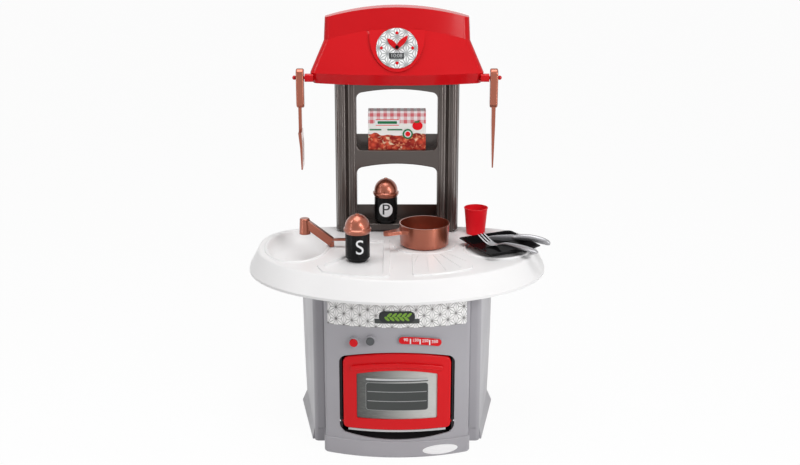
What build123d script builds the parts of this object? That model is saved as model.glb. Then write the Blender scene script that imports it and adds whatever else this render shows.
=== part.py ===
from build123d import *
import math
import os

# A toddler's play kitchen: an oven base, an oval worktop with a sink and a hob, a two-shelf back unit,
# a hood with a clock, two hanging utensils, and the crockery that stands on the worktop.
# Frame: X to the right, Y away from the child, Z up, origin on the floor at mid-depth. Millimetres.

# Clearances shared by the mating pieces
WALL = 3.0                      # wall of the moulded shells
SEAT_GAP = 0.3                  # between a loose piece and what it stands on
RUN_GAP = 0.06                  # radial, pin in a bore that turns or slides
FIT_GAP = 0.3                   # side clearance of a sliding button or a pull-off cap
FILM_GAP = 0.15                 # behind a curved plate or film that lies on a curved face

# Base: a bowed front shell between two splayed side panels
FRONT_Y = -148.0                # foremost line of the front shell, on the centre plane
FRONT_HALF_WIDTH = 126.0
FRONT_BOW = 25.0                # how far the middle of the front stands before its ends
SHELL_CORNER = 7.0
SHELL_BACK_Y = -58.0            # where the side returns of the front shell end
SHELL_TOP = 316.0
PLINTH_HEIGHT = 31.0
PLINTH_PROUD = 2.5

PANEL_FRONT_Y = -82.0
PANEL_FRONT_X = 147.5           # outer corner of the side panel, at its front
PANEL_BACK_X = 183.0            # outer face of the side panel, at its back
PANEL_BACK_Y = 150.0
PANEL_CORNER = 8.0
PANEL_FLANGE = 20.0             # flange that lies along the front shell's side
PANEL_LOW_BACK_Y = 88.0         # back edge of the panel just above the foot
PANEL_CURVE_TOP = 215.0         # height where the back edge starts to curve forward
FOOT_HEIGHT = 22.0
FOOT_FLARE_FRONT = 4.0
FOOT_FLARE_BACK = 8.5
CLIP_WIDTH = 8.0
CLIP_HEIGHT = 3.0
CLIP_INSET = 10.0               # from the panel's outer corner to the middle of the clip
CLIP_Z = 25.0

# Worktop
TOP_Z = 328.5
LIP_Z = 293.5                   # underside of the rim
LIP_BEAD = 4.5
TOP_HALF_WIDTH = 252.0
LIP_HALF_WIDTH = 268.0
WIDEST_Y = 30.0
TOP_FRONT_Y = -147.0
LIP_FRONT_Y = -172.0
TOP_BACK_Y = 176.0
LIP_BACK_Y = 177.0
TOP_EDGE_RADIUS = 5.0
SINK_X, SINK_Y = -182.0, 48.0
SINK_HALF_WIDTH = 54.0
SINK_HALF_LENGTH = 92.0
SINK_DEPTH = 22.0
RIDGE_RADIUS = 3.5              # raised bead round the sink and the plate rest
RIDGE_HEIGHT = 2.5
TRAY_RAISE = 3.0
TRAY_SINK = 4.0
TRAY_BAND = 13.0                # width of the tray's raised border
TRAY_CORNERS = ((-141, -70), (-129, -106), (-72, -129), (-12, -131), (-12, 86), (-84, 86), (-100, -12))
HOB_X, HOB_Y, HOB_RADIUS = 50.0, 50.0, 57.0
HOB_RAISE = 2.5
FAN_RAISE = 2.5
FAN_CORNERS = ((26, -6), (25.5, -123), (60, -119), (95, -107), (131, -86), (133, -70), (98, 12))
FAN_CORNER = 7.0
FAN_GROOVES = 6
FAN_GROOVE_START = -100.0       # degrees round the hob's centre
FAN_GROOVE_STEP = 11.5
FAN_GROOVE_REACH = 165.0
DIMPLE_X, DIMPLE_Y, DIMPLE_RADIUS = -8.7, -79.7, 1.6
REST_X, REST_Y, REST_RADIUS = 181.0, 28.0, 58.0

# Oven door and its opening
DOOR_HALF_WIDTH = 93.5
DOOR_BOTTOM_Z = 53.0
DOOR_SHOULDER_Z = 184.5
DOOR_CROWN_Z = 197.0
DOOR_CORNER = 13.0
DOOR_PROUD = 1.5
DOOR_DEPTH = 13.0
DOOR_SIDE_GAP = 2.1
DOOR_TOP_GAP = 1.6
HINGE_Y, HINGE_Z = -128.0, 62.0
HINGE_PIN_RADIUS = 2.5
EAR_HEIGHT = 20.0               # of the hinge ears, which stand a little behind the front's surface
EAR_BACK = 0.6
WINDOW_HALF_WIDTH = 70.0
WINDOW_BOTTOM_Z = 73.5
WINDOW_SHOULDER_Z = 157.0
WINDOW_CROWN_Z = 165.5
WINDOW_RECESS = 4.0
WINDOW_PANE = 1.5
BROW_Z = 176.0
BROW_HALF_WIDTH = 76.0
BROW_HEIGHT = 9.0
BROW_PROUD = 4.5
APRON_CENTRE_Z = 34.0           # lower edge of the opening, in the middle
APRON_SIDE_Z = 45.0
CAVITY_BACK_Y = 30.0
CAVITY_FLOOR_Z = 37.0
CAVITY_FRONT_Y = -114.0
SKIRT_LOW_Z = 4.0               # the cavity's skirt, which closes the gap under the door from behind

# Controls on the front
CONTROL_Z = 223.0               # height of the control line on the centre plane
CONTROL_DROOP = 360.0           # radius of the arc that the controls lie on
BUTTON_XS = (-73.0, -45.0)
BUTTON_RADIUS = 7.2
BUTTON_COLLAR = 2.0
BUTTON_COLLAR_PROUD = 6.0
BUTTON_PROUD = 2.0
BUTTON_TRAVEL = 1.8
SCALE_X0, SCALE_X1 = 9.5, 70.0
SCALE_HEIGHT = 14.0
SCALE_PROUD = 4.0
SCALE_PLATE = 1.2
BAND_BOTTOM_Z = 244.0
BAND_HALF_WIDTH = 119.5
BAND_THICKNESS = 0.5

# Back unit
UNIT_HALF_WIDTH = 115.2
UNIT_FRONT_Y = 133.0
UNIT_BACK_Y = 173.0
UNIT_TOP_Z = 640.0
OPENING_HALF_WIDTH = 75.0
OPENING_CORNER = 12.0
OPENING_ROUND = 2.0
LOWER_FLOOR_Z = 345.0
LOWER_CROWN_Z = 461.5
LOWER_SHOULDER_Z = 452.5
LOWER_LIP = 27.5
UPPER_FLOOR_Z = 487.0
UPPER_CROWN_Z = 602.0
UPPER_SHOULDER_Z = 594.0
UPPER_LIP = 23.5
FLUTE_X = 93.0                  # middle of the groove that runs down each post
FLUTE_HALF_WIDTH = 7.0
FLUTE_DEPTH = 4.5
POST_ROUND = 11.0

# Hood
EAVE_BOTTOM_Z = 614.6
EAVE_Z = 635.0
CREASE_Z = 715.0
CROWN_TOP_Z = 751.0
CROWN_ARCH_RADIUS = 450.0
EAVE_HALF_WIDTH = 158.0
EAVE_BOTTOM_HALF_WIDTH = 153.5
CREASE_HALF_WIDTH = 122.8       # width of the flared tier where it meets the crease height
CROWN_HALF_WIDTH = 134.0
CROWN_TOP_HALF_WIDTH = 130.5
EAVE_FRONT_Y = 92.0
EAVE_BOTTOM_FRONT_Y = 103.0
CREASE_FRONT_Y = 130.0
CROWN_FRONT_Y = 124.5
CROWN_TOP_FRONT_Y = 136.0
HOOD_BACK_Y = 176.0
EAVE_BOW = 25.0
CREASE_BOW = 17.0
CROWN_BOW = 12.5                # flatter than the flared tier, so that the crease between them arches
CROWN_LOW_SHARE = 0.62          # of the flared tier's height, where the crown starts inside it
HOOD_CORNER = 14.0
PEG_Y, PEG_Z = 120.0, 626.0
PEG_RADIUS = 3.0
PEG_TIP_RADIUS = 4.0
PEG_END_X = 190.5
ARM_END_X = 167.5
ARM_HEIGHT = 14.0
ARM_DEPTH = 16.0

# Clock, on a raised shield that leans with the hood's face
CLOCK_Z = 680.0
CLOCK_RADIUS = 37.5
SHIELD_HALF_WIDTH = 50.0
SHIELD_DROP = 68.0
SHIELD_CENTRE = 24.0
SHIELD_RAISE = 2.5
DIAL_THICKNESS = 2.0
HAND_THICKNESS = 1.5
HAND_GAP = 0.4
HOUR_LENGTH = 25.0
MINUTE_LENGTH = 30.0
HAND_WIDTH = 9.5
SPINDLE_RADIUS = 1.6
HUB_RADIUS = 3.4

# Tap: a post on a flat pad that interrupts the sink's bead, a rising bar, a nozzle and a lever
TAP_X, TAP_Y = -119.0, 40.0
TAP_SEAT_RAISE = 1.0
TAP_PAD_RADIUS = 7.5
TAP_POST_RADIUS = 4.6
TAP_POST_HEIGHT = 10.0
TAP_STEM_RADIUS = 3.5
TAP_STEM_DROP = 12.0
TAP_NUT_RING = 2.8
TAP_BAR_SLOPE = 37.6            # degrees, rising towards the nozzle
TAP_BAR_HEIGHT = 14.5
TAP_BAR_WIDTH = 13.0
TAP_BAR_END = (3.8, 15.5)       # upper corner of the bar's low end, from the post's axis and seat
NOZZLE_REACH = 48.4
NOZZLE_RISE = 25.0              # underside of the nozzle above the seat
NOZZLE_HEIGHT = 29.0
NOZZLE_RADIUS = 10.3
NOZZLE_TOP_RADIUS = 9.0
NOZZLE_WALL = 2.2
LEVER_LENGTH = 32.0
LEVER_WIDTH = 7.0
LEVER_THICKNESS = 3.6

# Hanging utensils, seen edge on
HANDLE_THICKNESS = 14.5
HANDLE_WIDTH = 21.0
HANDLE_TOP_Z = 643.0
HANDLE_LENGTH = 72.0
HANDLE_EDGE = 3.0
HANG_HOLE_RADIUS = 4.4
HANG_X = 176.3
UTENSIL_TIP_Z = 459.0
TURNER_WIDTH = 44.0
KNIFE_BLADE_WIDTH = 25.0

# Shakers
SHAKER_RADIUS = 21.6
SHAKER_FOOT_RADIUS = 16.0
SHAKER_CHAMFER = 7.0
SHAKER_SHOULDER = 51.0          # where the cap's band meets the body
SHAKER_STEP = 1.6
SHAKER_NECK = 9.0
CAP_BAND_RADIUS = 24.4
CAP_BAND_HEIGHT = 9.5
CAP_HEIGHT = 34.5
CAP_DOME_RADIUS = 22.2
CAP_NUB_RADIUS = 4.0
SHAKER_WALL = 2.0
SALT_X, SALT_Y = -69.5, -33.5
PEPPER_X, PEPPER_Y = -21.0, 147.8

# Saucepan
PAN_TOP_RADIUS = 46.0
PAN_BASE_RADIUS = 44.6
PAN_HEIGHT = 41.0
PAN_WALL = 2.2
PAN_HANDLE_ANGLE = 209.0
PAN_HANDLE_LENGTH = 38.0

# Cup, plate, cutlery and carton
CUP_X, CUP_Y = 148.5, 127.0
CUP_TOP_RADIUS = 22.5
CUP_BASE_RADIUS = 17.4
CUP_HEIGHT = 50.5
CUP_WALL = 1.6
PLATE_X, PLATE_Y = 186.0, 31.0
PLATE_TURN = 26.0
PLATE_SIDE = 112.0
PLATE_BASE_SIDE = 84.0
PLATE_HEIGHT = 10.0
PLATE_WALL = 2.2
PLATE_CORNER = 9.0
FORK_START = (153.0, 54.5)      # middle of the tines' tips
FORK_HEADING = -46.9
FORK_RAISE = 1.9                # of the fork's lowest line above the plate's base
KNIFE_START = (167.0, 69.0)     # tip of the table knife's blade
KNIFE_HEADING = -26.0
KNIFE_RAISE = 11.8
CARTON_WIDTH = 107.0
CARTON_DEPTH = 28.0
CARTON_HEIGHT = 73.0
CARTON_Y = 154.0

# Screws: side panels to the front shell, back unit to the worktop, hood to the back unit
SCREW_RADIUS = 1.6
SCREW_HEAD_RADIUS = 3.4
SCREW_HEAD_HEIGHT = 2.0
PANEL_SCREW_ZS = (60.0, 240.0)
POST_SCREW_X = 94.0
POST_SCREW_YS = (146.0, 162.0)
HOOD_SCREW_X = 60.0

# Derived places
FRONT_RADIUS = (FRONT_HALF_WIDTH**2 + FRONT_BOW**2) / (2 * FRONT_BOW)
FRONT_CENTRE_Y = FRONT_Y + FRONT_RADIUS
CAVITY_HALF_WIDTH = DOOR_HALF_WIDTH + DOOR_SIDE_GAP
OPENING_X = CAVITY_HALF_WIDTH + WALL
FACE_LEAN = math.atan2(CREASE_FRONT_Y - EAVE_FRONT_Y, CREASE_Z - EAVE_Z)
CLOCK_Y = EAVE_FRONT_Y + (CLOCK_Z - EAVE_Z) * math.tan(FACE_LEAN)
FACE_NORMAL = Vector(0, -math.cos(FACE_LEAN), math.sin(FACE_LEAN))
REST_TOP_Z = TOP_Z + RIDGE_HEIGHT
HOB_TOP_Z = TOP_Z + HOB_RAISE
SALT_Z = TOP_Z + TRAY_RAISE - TRAY_SINK + SEAT_GAP
PLATE_Z = REST_TOP_Z + SEAT_GAP
PANEL_TOP = TOP_Z - SINK_DEPTH - WALL
TAP_SEAT_Z = TOP_Z + TAP_SEAT_RAISE
UNIT_MID_Y = (UNIT_FRONT_Y + UNIT_BACK_Y) / 2


def along_front(sketch, back_y=-60.0, front_y=-190.0):
    """Run a front-view sketch (X, Z) through the front of the base, as a solid from front_y to back_y."""
    return extrude(Plane.XZ.offset(-back_y) * sketch, amount=back_y - front_y)


def bowed_layer(inner, outer, height=400.0):
    """Vertical shell that follows the bow of the front, between two offsets from its surface."""
    axis = Pos(0, FRONT_CENTRE_Y, height / 2)
    return axis * (Cylinder(FRONT_RADIUS + outer, height) - Cylinder(FRONT_RADIUS + inner, height))


def arched_frame(half_width, bottom, shoulder, crown, corner, foot_corner=None):
    """Front-view sketch of an opening or door: upright sides, flat foot and an arched head."""
    left, right = -half_width, half_width
    edges = Polyline((left, shoulder), (left, bottom), (right, bottom), (right, shoulder))
    head = ThreePointArc((half_width, shoulder), (0, crown), (-half_width, shoulder))
    face = make_face([edges, head])
    face = fillet(face.vertices().group_by(Axis.Y)[-1], corner)
    return fillet(face.vertices().group_by(Axis.Y)[0], foot_corner or corner)


def oval_points(half_width, front_y, back_y, front_power, back_power=3.5, count=44):
    """Points of the worktop's half-oval outline, squarer at the back than at the front."""
    points = []
    for i in range(count):
        angle = 2 * math.pi * i / count
        power = front_power if math.sin(angle) < 0 else back_power
        reach = WIDEST_Y - front_y if math.sin(angle) < 0 else back_y - WIDEST_Y
        x = math.copysign(abs(math.cos(angle)) ** (2 / power), math.cos(angle)) * half_width
        y = math.copysign(abs(math.sin(angle)) ** (2 / power), math.sin(angle)) * reach
        points.append((x, y + WIDEST_Y))
    return points


def oval_face(z, inset, half_width, front_y, back_y, front_power):
    """Worktop outline as a face at height z, drawn in by inset on every side."""
    outline = oval_points(half_width - inset, front_y + inset, back_y - inset, front_power)
    return Pos(0, 0, z) * make_face(Spline(*outline, periodic=True))


def front_shell():
    """Bowed front of the base with its side returns, plinth, oven opening and button collars."""
    half = FRONT_HALF_WIDTH
    end_y = FRONT_Y + FRONT_BOW
    sides = Polyline((half, end_y), (half, SHELL_BACK_Y), (-half, SHELL_BACK_Y), (-half, end_y))
    plan = make_face([sides, ThreePointArc((-half, end_y), (0, FRONT_Y), (half, end_y))])
    plan = fillet(plan.vertices().group_by(Axis.Y)[0], SHELL_CORNER)
    plinth = offset(plan, PLINTH_PROUD)
    body = extrude(plan, SHELL_TOP)
    foot = extrude(plinth, PLINTH_HEIGHT)
    foot = fillet(foot.edges().group_by(Axis.Z)[0], PLINTH_PROUD * 1.6)
    foot = chamfer(foot.edges().group_by(Axis.Z)[-1], PLINTH_PROUD * 0.6)
    beside = Box(4 * half, 200, 4 * PLINTH_HEIGHT, align=(Align.CENTER, Align.MIN, Align.CENTER))
    foot -= Pos(0, PANEL_FRONT_Y - SEAT_GAP, 0) * beside
    hollow = extrude(offset(plan, -WALL), SHELL_TOP)
    hollow += Pos(0, SHELL_BACK_Y, SHELL_TOP / 2) * Box(2 * (half - WALL), 4 * WALL, SHELL_TOP)
    shell = body + foot - hollow - panel_screw_holes()

    apron = arched_frame(OPENING_X, APRON_SIDE_Z, DOOR_SHOULDER_Z, DOOR_CROWN_Z, DOOR_CORNER)
    mouth = along_front(offset(apron, DOOR_TOP_GAP))
    apron_arc = ThreePointArc((-OPENING_X, APRON_SIDE_Z), (0, APRON_CENTRE_Z), (OPENING_X, APRON_SIDE_Z))
    droop = make_face([apron_arc, Line(apron_arc @ 1, apron_arc @ 0)])
    shell = shell - mouth - along_front(droop)

    for x in BUTTON_XS:
        shell += button_place(x) * (
            Pos(0, 0, (BUTTON_COLLAR_PROUD - WALL) / 2)
            * Cylinder(BUTTON_RADIUS + BUTTON_COLLAR, BUTTON_COLLAR_PROUD + WALL)
        )
        shell -= button_place(x) * Cylinder(BUTTON_RADIUS + FIT_GAP, 60)
    shell += along_front(scale_outline(0)) & bowed_layer(-WALL / 2, SCALE_PROUD)
    return shell


def panel_screw_places():
    """Places of the screws through the shell's sides, with Z along each screw, out of the shell."""
    y = (PANEL_FRONT_Y + PANEL_FLANGE + PANEL_FRONT_Y) / 2 + WALL / 2
    start = FRONT_HALF_WIDTH - WALL
    return [
        Plane(origin=(side * start, y, z), x_dir=(0, 1, 0), z_dir=(side, 0, 0))
        for side in (-1, 1) for z in PANEL_SCREW_ZS
    ]


def panel_screw_holes():
    """Clearance holes of the side panels' screws, as one cutter."""
    holes = Part()
    for place in panel_screw_places():
        holes += place * Cylinder(SCREW_RADIUS + RUN_GAP, 6 * WALL)
    return holes


def control_z(x):
    """Height of the control line at a distance x from the centre plane."""
    return CONTROL_Z - x**2 / (2 * CONTROL_DROOP)


def front_place(x, z, proud=0.0):
    """Plane on the bowed front at (x, z), with its normal pointing out of the front."""
    lean = math.asin(x / FRONT_RADIUS)
    reach = FRONT_RADIUS + proud
    origin = Vector(reach * math.sin(lean), FRONT_CENTRE_Y - reach * math.cos(lean), z)
    normal = Vector(math.sin(lean), -math.cos(lean), 0)
    return Plane(origin=origin, x_dir=(math.cos(lean), math.sin(lean), 0), z_dir=normal)


def button_place(x):
    """Plane of one push button on the front."""
    return front_place(x, control_z(x))


def scale_outline(inset):
    """Front-view outline of the temperature scale: a slot that follows the control line."""
    half = SCALE_HEIGHT / 2 - inset
    middle = (SCALE_X0 + SCALE_X1) / 2
    ends = [(x, control_z(x)) for x in (SCALE_X0, middle, SCALE_X1)]
    return SlotArc(ThreePointArc(*ends), 2 * half)


def button(x):
    """Push button: a cap in its collar, with a stop flange behind the wall."""
    length = BUTTON_COLLAR_PROUD + BUTTON_PROUD + WALL + BUTTON_TRAVEL
    top = BUTTON_COLLAR_PROUD + BUTTON_PROUD
    cap = Pos(0, 0, top - length / 2) * Cylinder(BUTTON_RADIUS, length)
    cap = fillet(cap.edges().sort_by(Axis.Z)[-1], 1.2)
    stop_top = -WALL - SEAT_GAP
    flange = Pos(0, 0, stop_top - 1.0) * Cylinder(BUTTON_RADIUS + BUTTON_COLLAR, 2.0)
    return button_place(x) * (cap + flange)


def side_panel():
    """Right side panel: rounded front, splayed wall, curved back edge and flared foot."""
    inner_x = FRONT_HALF_WIDTH + SEAT_GAP
    splay = (PANEL_BACK_X - PANEL_FRONT_X) / (PANEL_BACK_Y - PANEL_FRONT_Y)
    outer = Polyline(
        (inner_x, PANEL_FRONT_Y + PANEL_FLANGE),
        (inner_x, PANEL_FRONT_Y),
        (PANEL_FRONT_X, PANEL_FRONT_Y),
        (PANEL_BACK_X, PANEL_BACK_Y),
    )
    run = math.hypot(PANEL_BACK_X - PANEL_FRONT_X, PANEL_BACK_Y - PANEL_FRONT_Y)
    across = Vector(-(PANEL_BACK_Y - PANEL_FRONT_Y), PANEL_BACK_X - PANEL_FRONT_X, 0) * (WALL / run)
    inside = Polyline(
        (PANEL_BACK_X + across.X, PANEL_BACK_Y + across.Y),
        (PANEL_FRONT_X + across.X, PANEL_FRONT_Y + WALL),
        (inner_x + WALL, PANEL_FRONT_Y + WALL),
        (inner_x + WALL, PANEL_FRONT_Y + PANEL_FLANGE),
    )
    plan = make_face([outer, Line(outer @ 1, inside @ 0), inside, Line(inside @ 1, outer @ 0)])
    front = plan.vertices().filter_by(lambda v: abs(v.Y - PANEL_FRONT_Y) < 0.01)
    plan = fillet(front.sort_by(Axis.X)[0], WALL * 1.6)
    corner = plan.vertices().filter_by(lambda v: abs(v.Y - PANEL_FRONT_Y) < 0.01).sort_by(Axis.X)[-1]
    plan = fillet(corner, PANEL_CORNER)
    panel = extrude(plan, PANEL_TOP)

    # The back edge runs straight down from the worktop and then curves forward to the foot
    low = (PANEL_LOW_BACK_Y, FOOT_HEIGHT)
    top = (PANEL_BACK_Y - 6, PANEL_CURVE_TOP)
    edge = Spline(top, low, tangents=[(0, -1), (-0.5, -1)])
    beyond = PANEL_BACK_Y + 60
    trim = make_face([
        Line((PANEL_BACK_Y - 6, 400), top), edge, Line(low, (PANEL_LOW_BACK_Y - 1, -10)),
        Polyline((PANEL_LOW_BACK_Y - 1, -10), (beyond, -10), (beyond, 400), (PANEL_BACK_Y - 6, 400)),
    ])
    panel -= Plane.YZ * extrude(trim, 400)

    # The foot flares out along the splayed wall
    def foot_section(y, flare):
        x = PANEL_FRONT_X + (y - PANEL_FRONT_Y) * splay
        outline = Polyline(
            (x - WALL, 0), (x + flare, 0), (x + flare, 2.5), (x, FOOT_HEIGHT), (x - WALL, FOOT_HEIGHT),
            (x - WALL, 0)
        )
        return Plane.XZ.offset(-y) * make_face(outline)

    front_y = PANEL_FRONT_Y + PANEL_CORNER
    back_y = PANEL_LOW_BACK_Y + 4
    foot = loft([foot_section(front_y, FOOT_FLARE_FRONT), foot_section(back_y, FOOT_FLARE_BACK)], ruled=True)
    slot = Pos(PANEL_FRONT_X - CLIP_INSET, PANEL_FRONT_Y, CLIP_Z) * Box(CLIP_WIDTH, 4 * WALL, CLIP_HEIGHT)
    return panel + foot - slot - panel_screw_holes()


def panel_clip():
    """Clip tongue that shows in the slot at the foot of the side panel."""
    width, height = CLIP_WIDTH - 2 * SEAT_GAP, CLIP_HEIGHT - 2 * SEAT_GAP
    tongue = Box(width, 2 * WALL, height, align=(Align.CENTER, Align.MIN, Align.CENTER))
    pad = Pos(0, WALL, 0) * Box(width + 3, WALL, height + 6, align=(Align.CENTER, Align.MIN, Align.CENTER))
    return Pos(PANEL_FRONT_X - CLIP_INSET, PANEL_FRONT_Y + SEAT_GAP, CLIP_Z) * (tongue + pad)


def oven_cavity():
    """Open-fronted oven box with a flange behind the front shell and the bores of the door's hinge."""
    outer_x = CAVITY_HALF_WIDTH + WALL
    head_z = DOOR_CROWN_Z + DOOR_TOP_GAP + WALL
    floor_z = CAVITY_FLOOR_Z - WALL
    depth = CAVITY_BACK_Y - FRONT_Y
    box_place = Pos(0, CAVITY_BACK_Y - depth / 2, (head_z + floor_z) / 2)
    box = box_place * Box(2 * outer_x, depth, head_z - floor_z)
    roof_z = head_z - WALL
    room = Pos(0, CAVITY_BACK_Y - WALL - depth / 2, (roof_z + CAVITY_FLOOR_Z) / 2) * Box(
        2 * CAVITY_HALF_WIDTH, depth, roof_z - CAVITY_FLOOR_Z
    )
    throat = Pos(0, (CAVITY_FRONT_Y + FRONT_Y - 40) / 2, floor_z) * Box(
        2 * CAVITY_HALF_WIDTH, CAVITY_FRONT_Y - FRONT_Y + 40, 4 * WALL
    )
    flange_face = Pos(0, (head_z + floor_z) / 2) * Rectangle(2 * outer_x + 16, head_z - floor_z + 2 * WALL)
    flange = along_front(flange_face) & bowed_layer(-2 * WALL, -WALL)
    mouth = along_front(Pos(0, (roof_z + floor_z) / 2) * Rectangle(2 * CAVITY_HALF_WIDTH, roof_z - floor_z))
    within = Pos(0, FRONT_CENTRE_Y, 150) * Cylinder(FRONT_RADIUS - WALL, 400)
    ears = Pos(0, FRONT_CENTRE_Y, HINGE_Z) * Cylinder(FRONT_RADIUS - EAR_BACK, EAR_HEIGHT)
    walls = box - room - throat
    cheeks = walls & ears & Pos(0, HINGE_Y, HINGE_Z) * Box(2 * outer_x, 12, EAR_HEIGHT)
    cavity = (walls & within) + cheeks + (flange - mouth)
    skirt = Box(2 * outer_x, WALL, floor_z + WALL - SKIRT_LOW_Z, align=(Align.CENTER, Align.MIN, Align.MIN))
    cavity += Pos(0, CAVITY_FRONT_Y, SKIRT_LOW_Z) * skirt
    bore = Pos(0, HINGE_Y, HINGE_Z) * Rot(0, 90, 0) * Cylinder(HINGE_PIN_RADIUS + RUN_GAP, 4 * outer_x)
    return cavity - bore


def door_frame():
    """Red bowed door with a window recess, a finger brow and the two hinge pins."""
    outline = arched_frame(DOOR_HALF_WIDTH, DOOR_BOTTOM_Z, DOOR_SHOULDER_Z, DOOR_CROWN_Z, DOOR_CORNER, 8.0)
    door = along_front(outline) & bowed_layer(DOOR_PROUD - DOOR_DEPTH, DOOR_PROUD)
    front_edges = door.faces().sort_by(Axis.Y)[0].edges()
    door = fillet(front_edges, 3.0)
    window = arched_frame(WINDOW_HALF_WIDTH, WINDOW_BOTTOM_Z, WINDOW_SHOULDER_Z, WINDOW_CROWN_Z, 3.0)
    recess = along_front(window) & bowed_layer(DOOR_PROUD - WINDOW_RECESS, DOOR_PROUD + 20)
    pocket = along_front(offset(outline, -2 * WALL)) & bowed_layer(-40, DOOR_PROUD - WINDOW_RECESS - WALL)
    brow_z = [BROW_Z - x**2 / (2 * CONTROL_DROOP) for x in (BROW_HALF_WIDTH, 0)]
    brow_arc = ThreePointArc((-BROW_HALF_WIDTH, brow_z[0]), (0, brow_z[1]), (BROW_HALF_WIDTH, brow_z[0]))
    brow = along_front(SlotArc(brow_arc, BROW_HEIGHT)) & bowed_layer(-1, DOOR_PROUD + BROW_PROUD)
    brow = fillet(brow.faces().sort_by(Axis.Y)[0].edges(), 2.5)
    pin_length = CAVITY_HALF_WIDTH + WALL - SEAT_GAP - (DOOR_HALF_WIDTH - 2)
    pins = Part()
    for side in (-1, 1):
        x = side * (DOOR_HALF_WIDTH - 2 + pin_length / 2)
        pins += Pos(x, HINGE_Y, HINGE_Z) * Rot(0, 90, 0) * Cylinder(HINGE_PIN_RADIUS, pin_length)
    return door - recess - pocket + brow + pins


def door_window():
    """Pane in the door's recess, which carries the printed grille."""
    window = arched_frame(WINDOW_HALF_WIDTH, WINDOW_BOTTOM_Z, WINDOW_SHOULDER_Z, WINDOW_CROWN_Z, 3.0)
    back = DOOR_PROUD - WINDOW_RECESS + FILM_GAP
    return along_front(offset(window, -FILM_GAP)) & bowed_layer(back, back + WINDOW_PANE)


def scale_plate():
    """Red plate with the temperature scale, on its raised boss."""
    back = SCALE_PROUD + FILM_GAP
    return along_front(scale_outline(0.6)) & bowed_layer(back, back + SCALE_PLATE)


def fascia_band():
    """Printed band across the head of the front shell."""
    height = LIP_Z - BAND_BOTTOM_Z
    face = Pos(0, BAND_BOTTOM_Z + height / 2) * Rectangle(2 * BAND_HALF_WIDTH, height)
    return along_front(face) & bowed_layer(FILM_GAP, FILM_GAP + BAND_THICKNESS)


def sink_bowl(grow):
    """Rounded oval bowl of the sink, enlarged on every side by grow."""
    levels = ((1.0, 0.0), (0.955, 0.33), (0.87, 0.68), (0.70, 0.94), (0.45, 1.0))
    faces = []
    for share, depth in levels:
        z = TOP_Z + 0.5 - (SINK_DEPTH + 0.5 + grow) * depth
        outline = Ellipse(SINK_HALF_WIDTH * share + grow, SINK_HALF_LENGTH * share + grow)
        faces.append(Pos(SINK_X, SINK_Y, z) * outline)
    rim = Pos(SINK_X, SINK_Y, TOP_Z + 8) * Ellipse(SINK_HALF_WIDTH + grow, SINK_HALF_LENGTH + grow)
    return loft(faces) + loft([rim, faces[0]], ruled=True)


def tray_outline(inset, corner):
    """Outline of the raised draining tray between the sink and the hob, drawn in by inset."""
    face = make_face(Polyline(*TRAY_CORNERS, TRAY_CORNERS[0]))
    if inset:
        face = offset(face, -inset, kind=Kind.INTERSECTION)
    return fillet(face.vertices(), corner)


def fan_outline():
    """Outline of the fan-shaped ribbed pad in front of the hob."""
    face = make_face(Polyline(*FAN_CORNERS, FAN_CORNERS[0]))
    return fillet(face.vertices(), FAN_CORNER)


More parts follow.
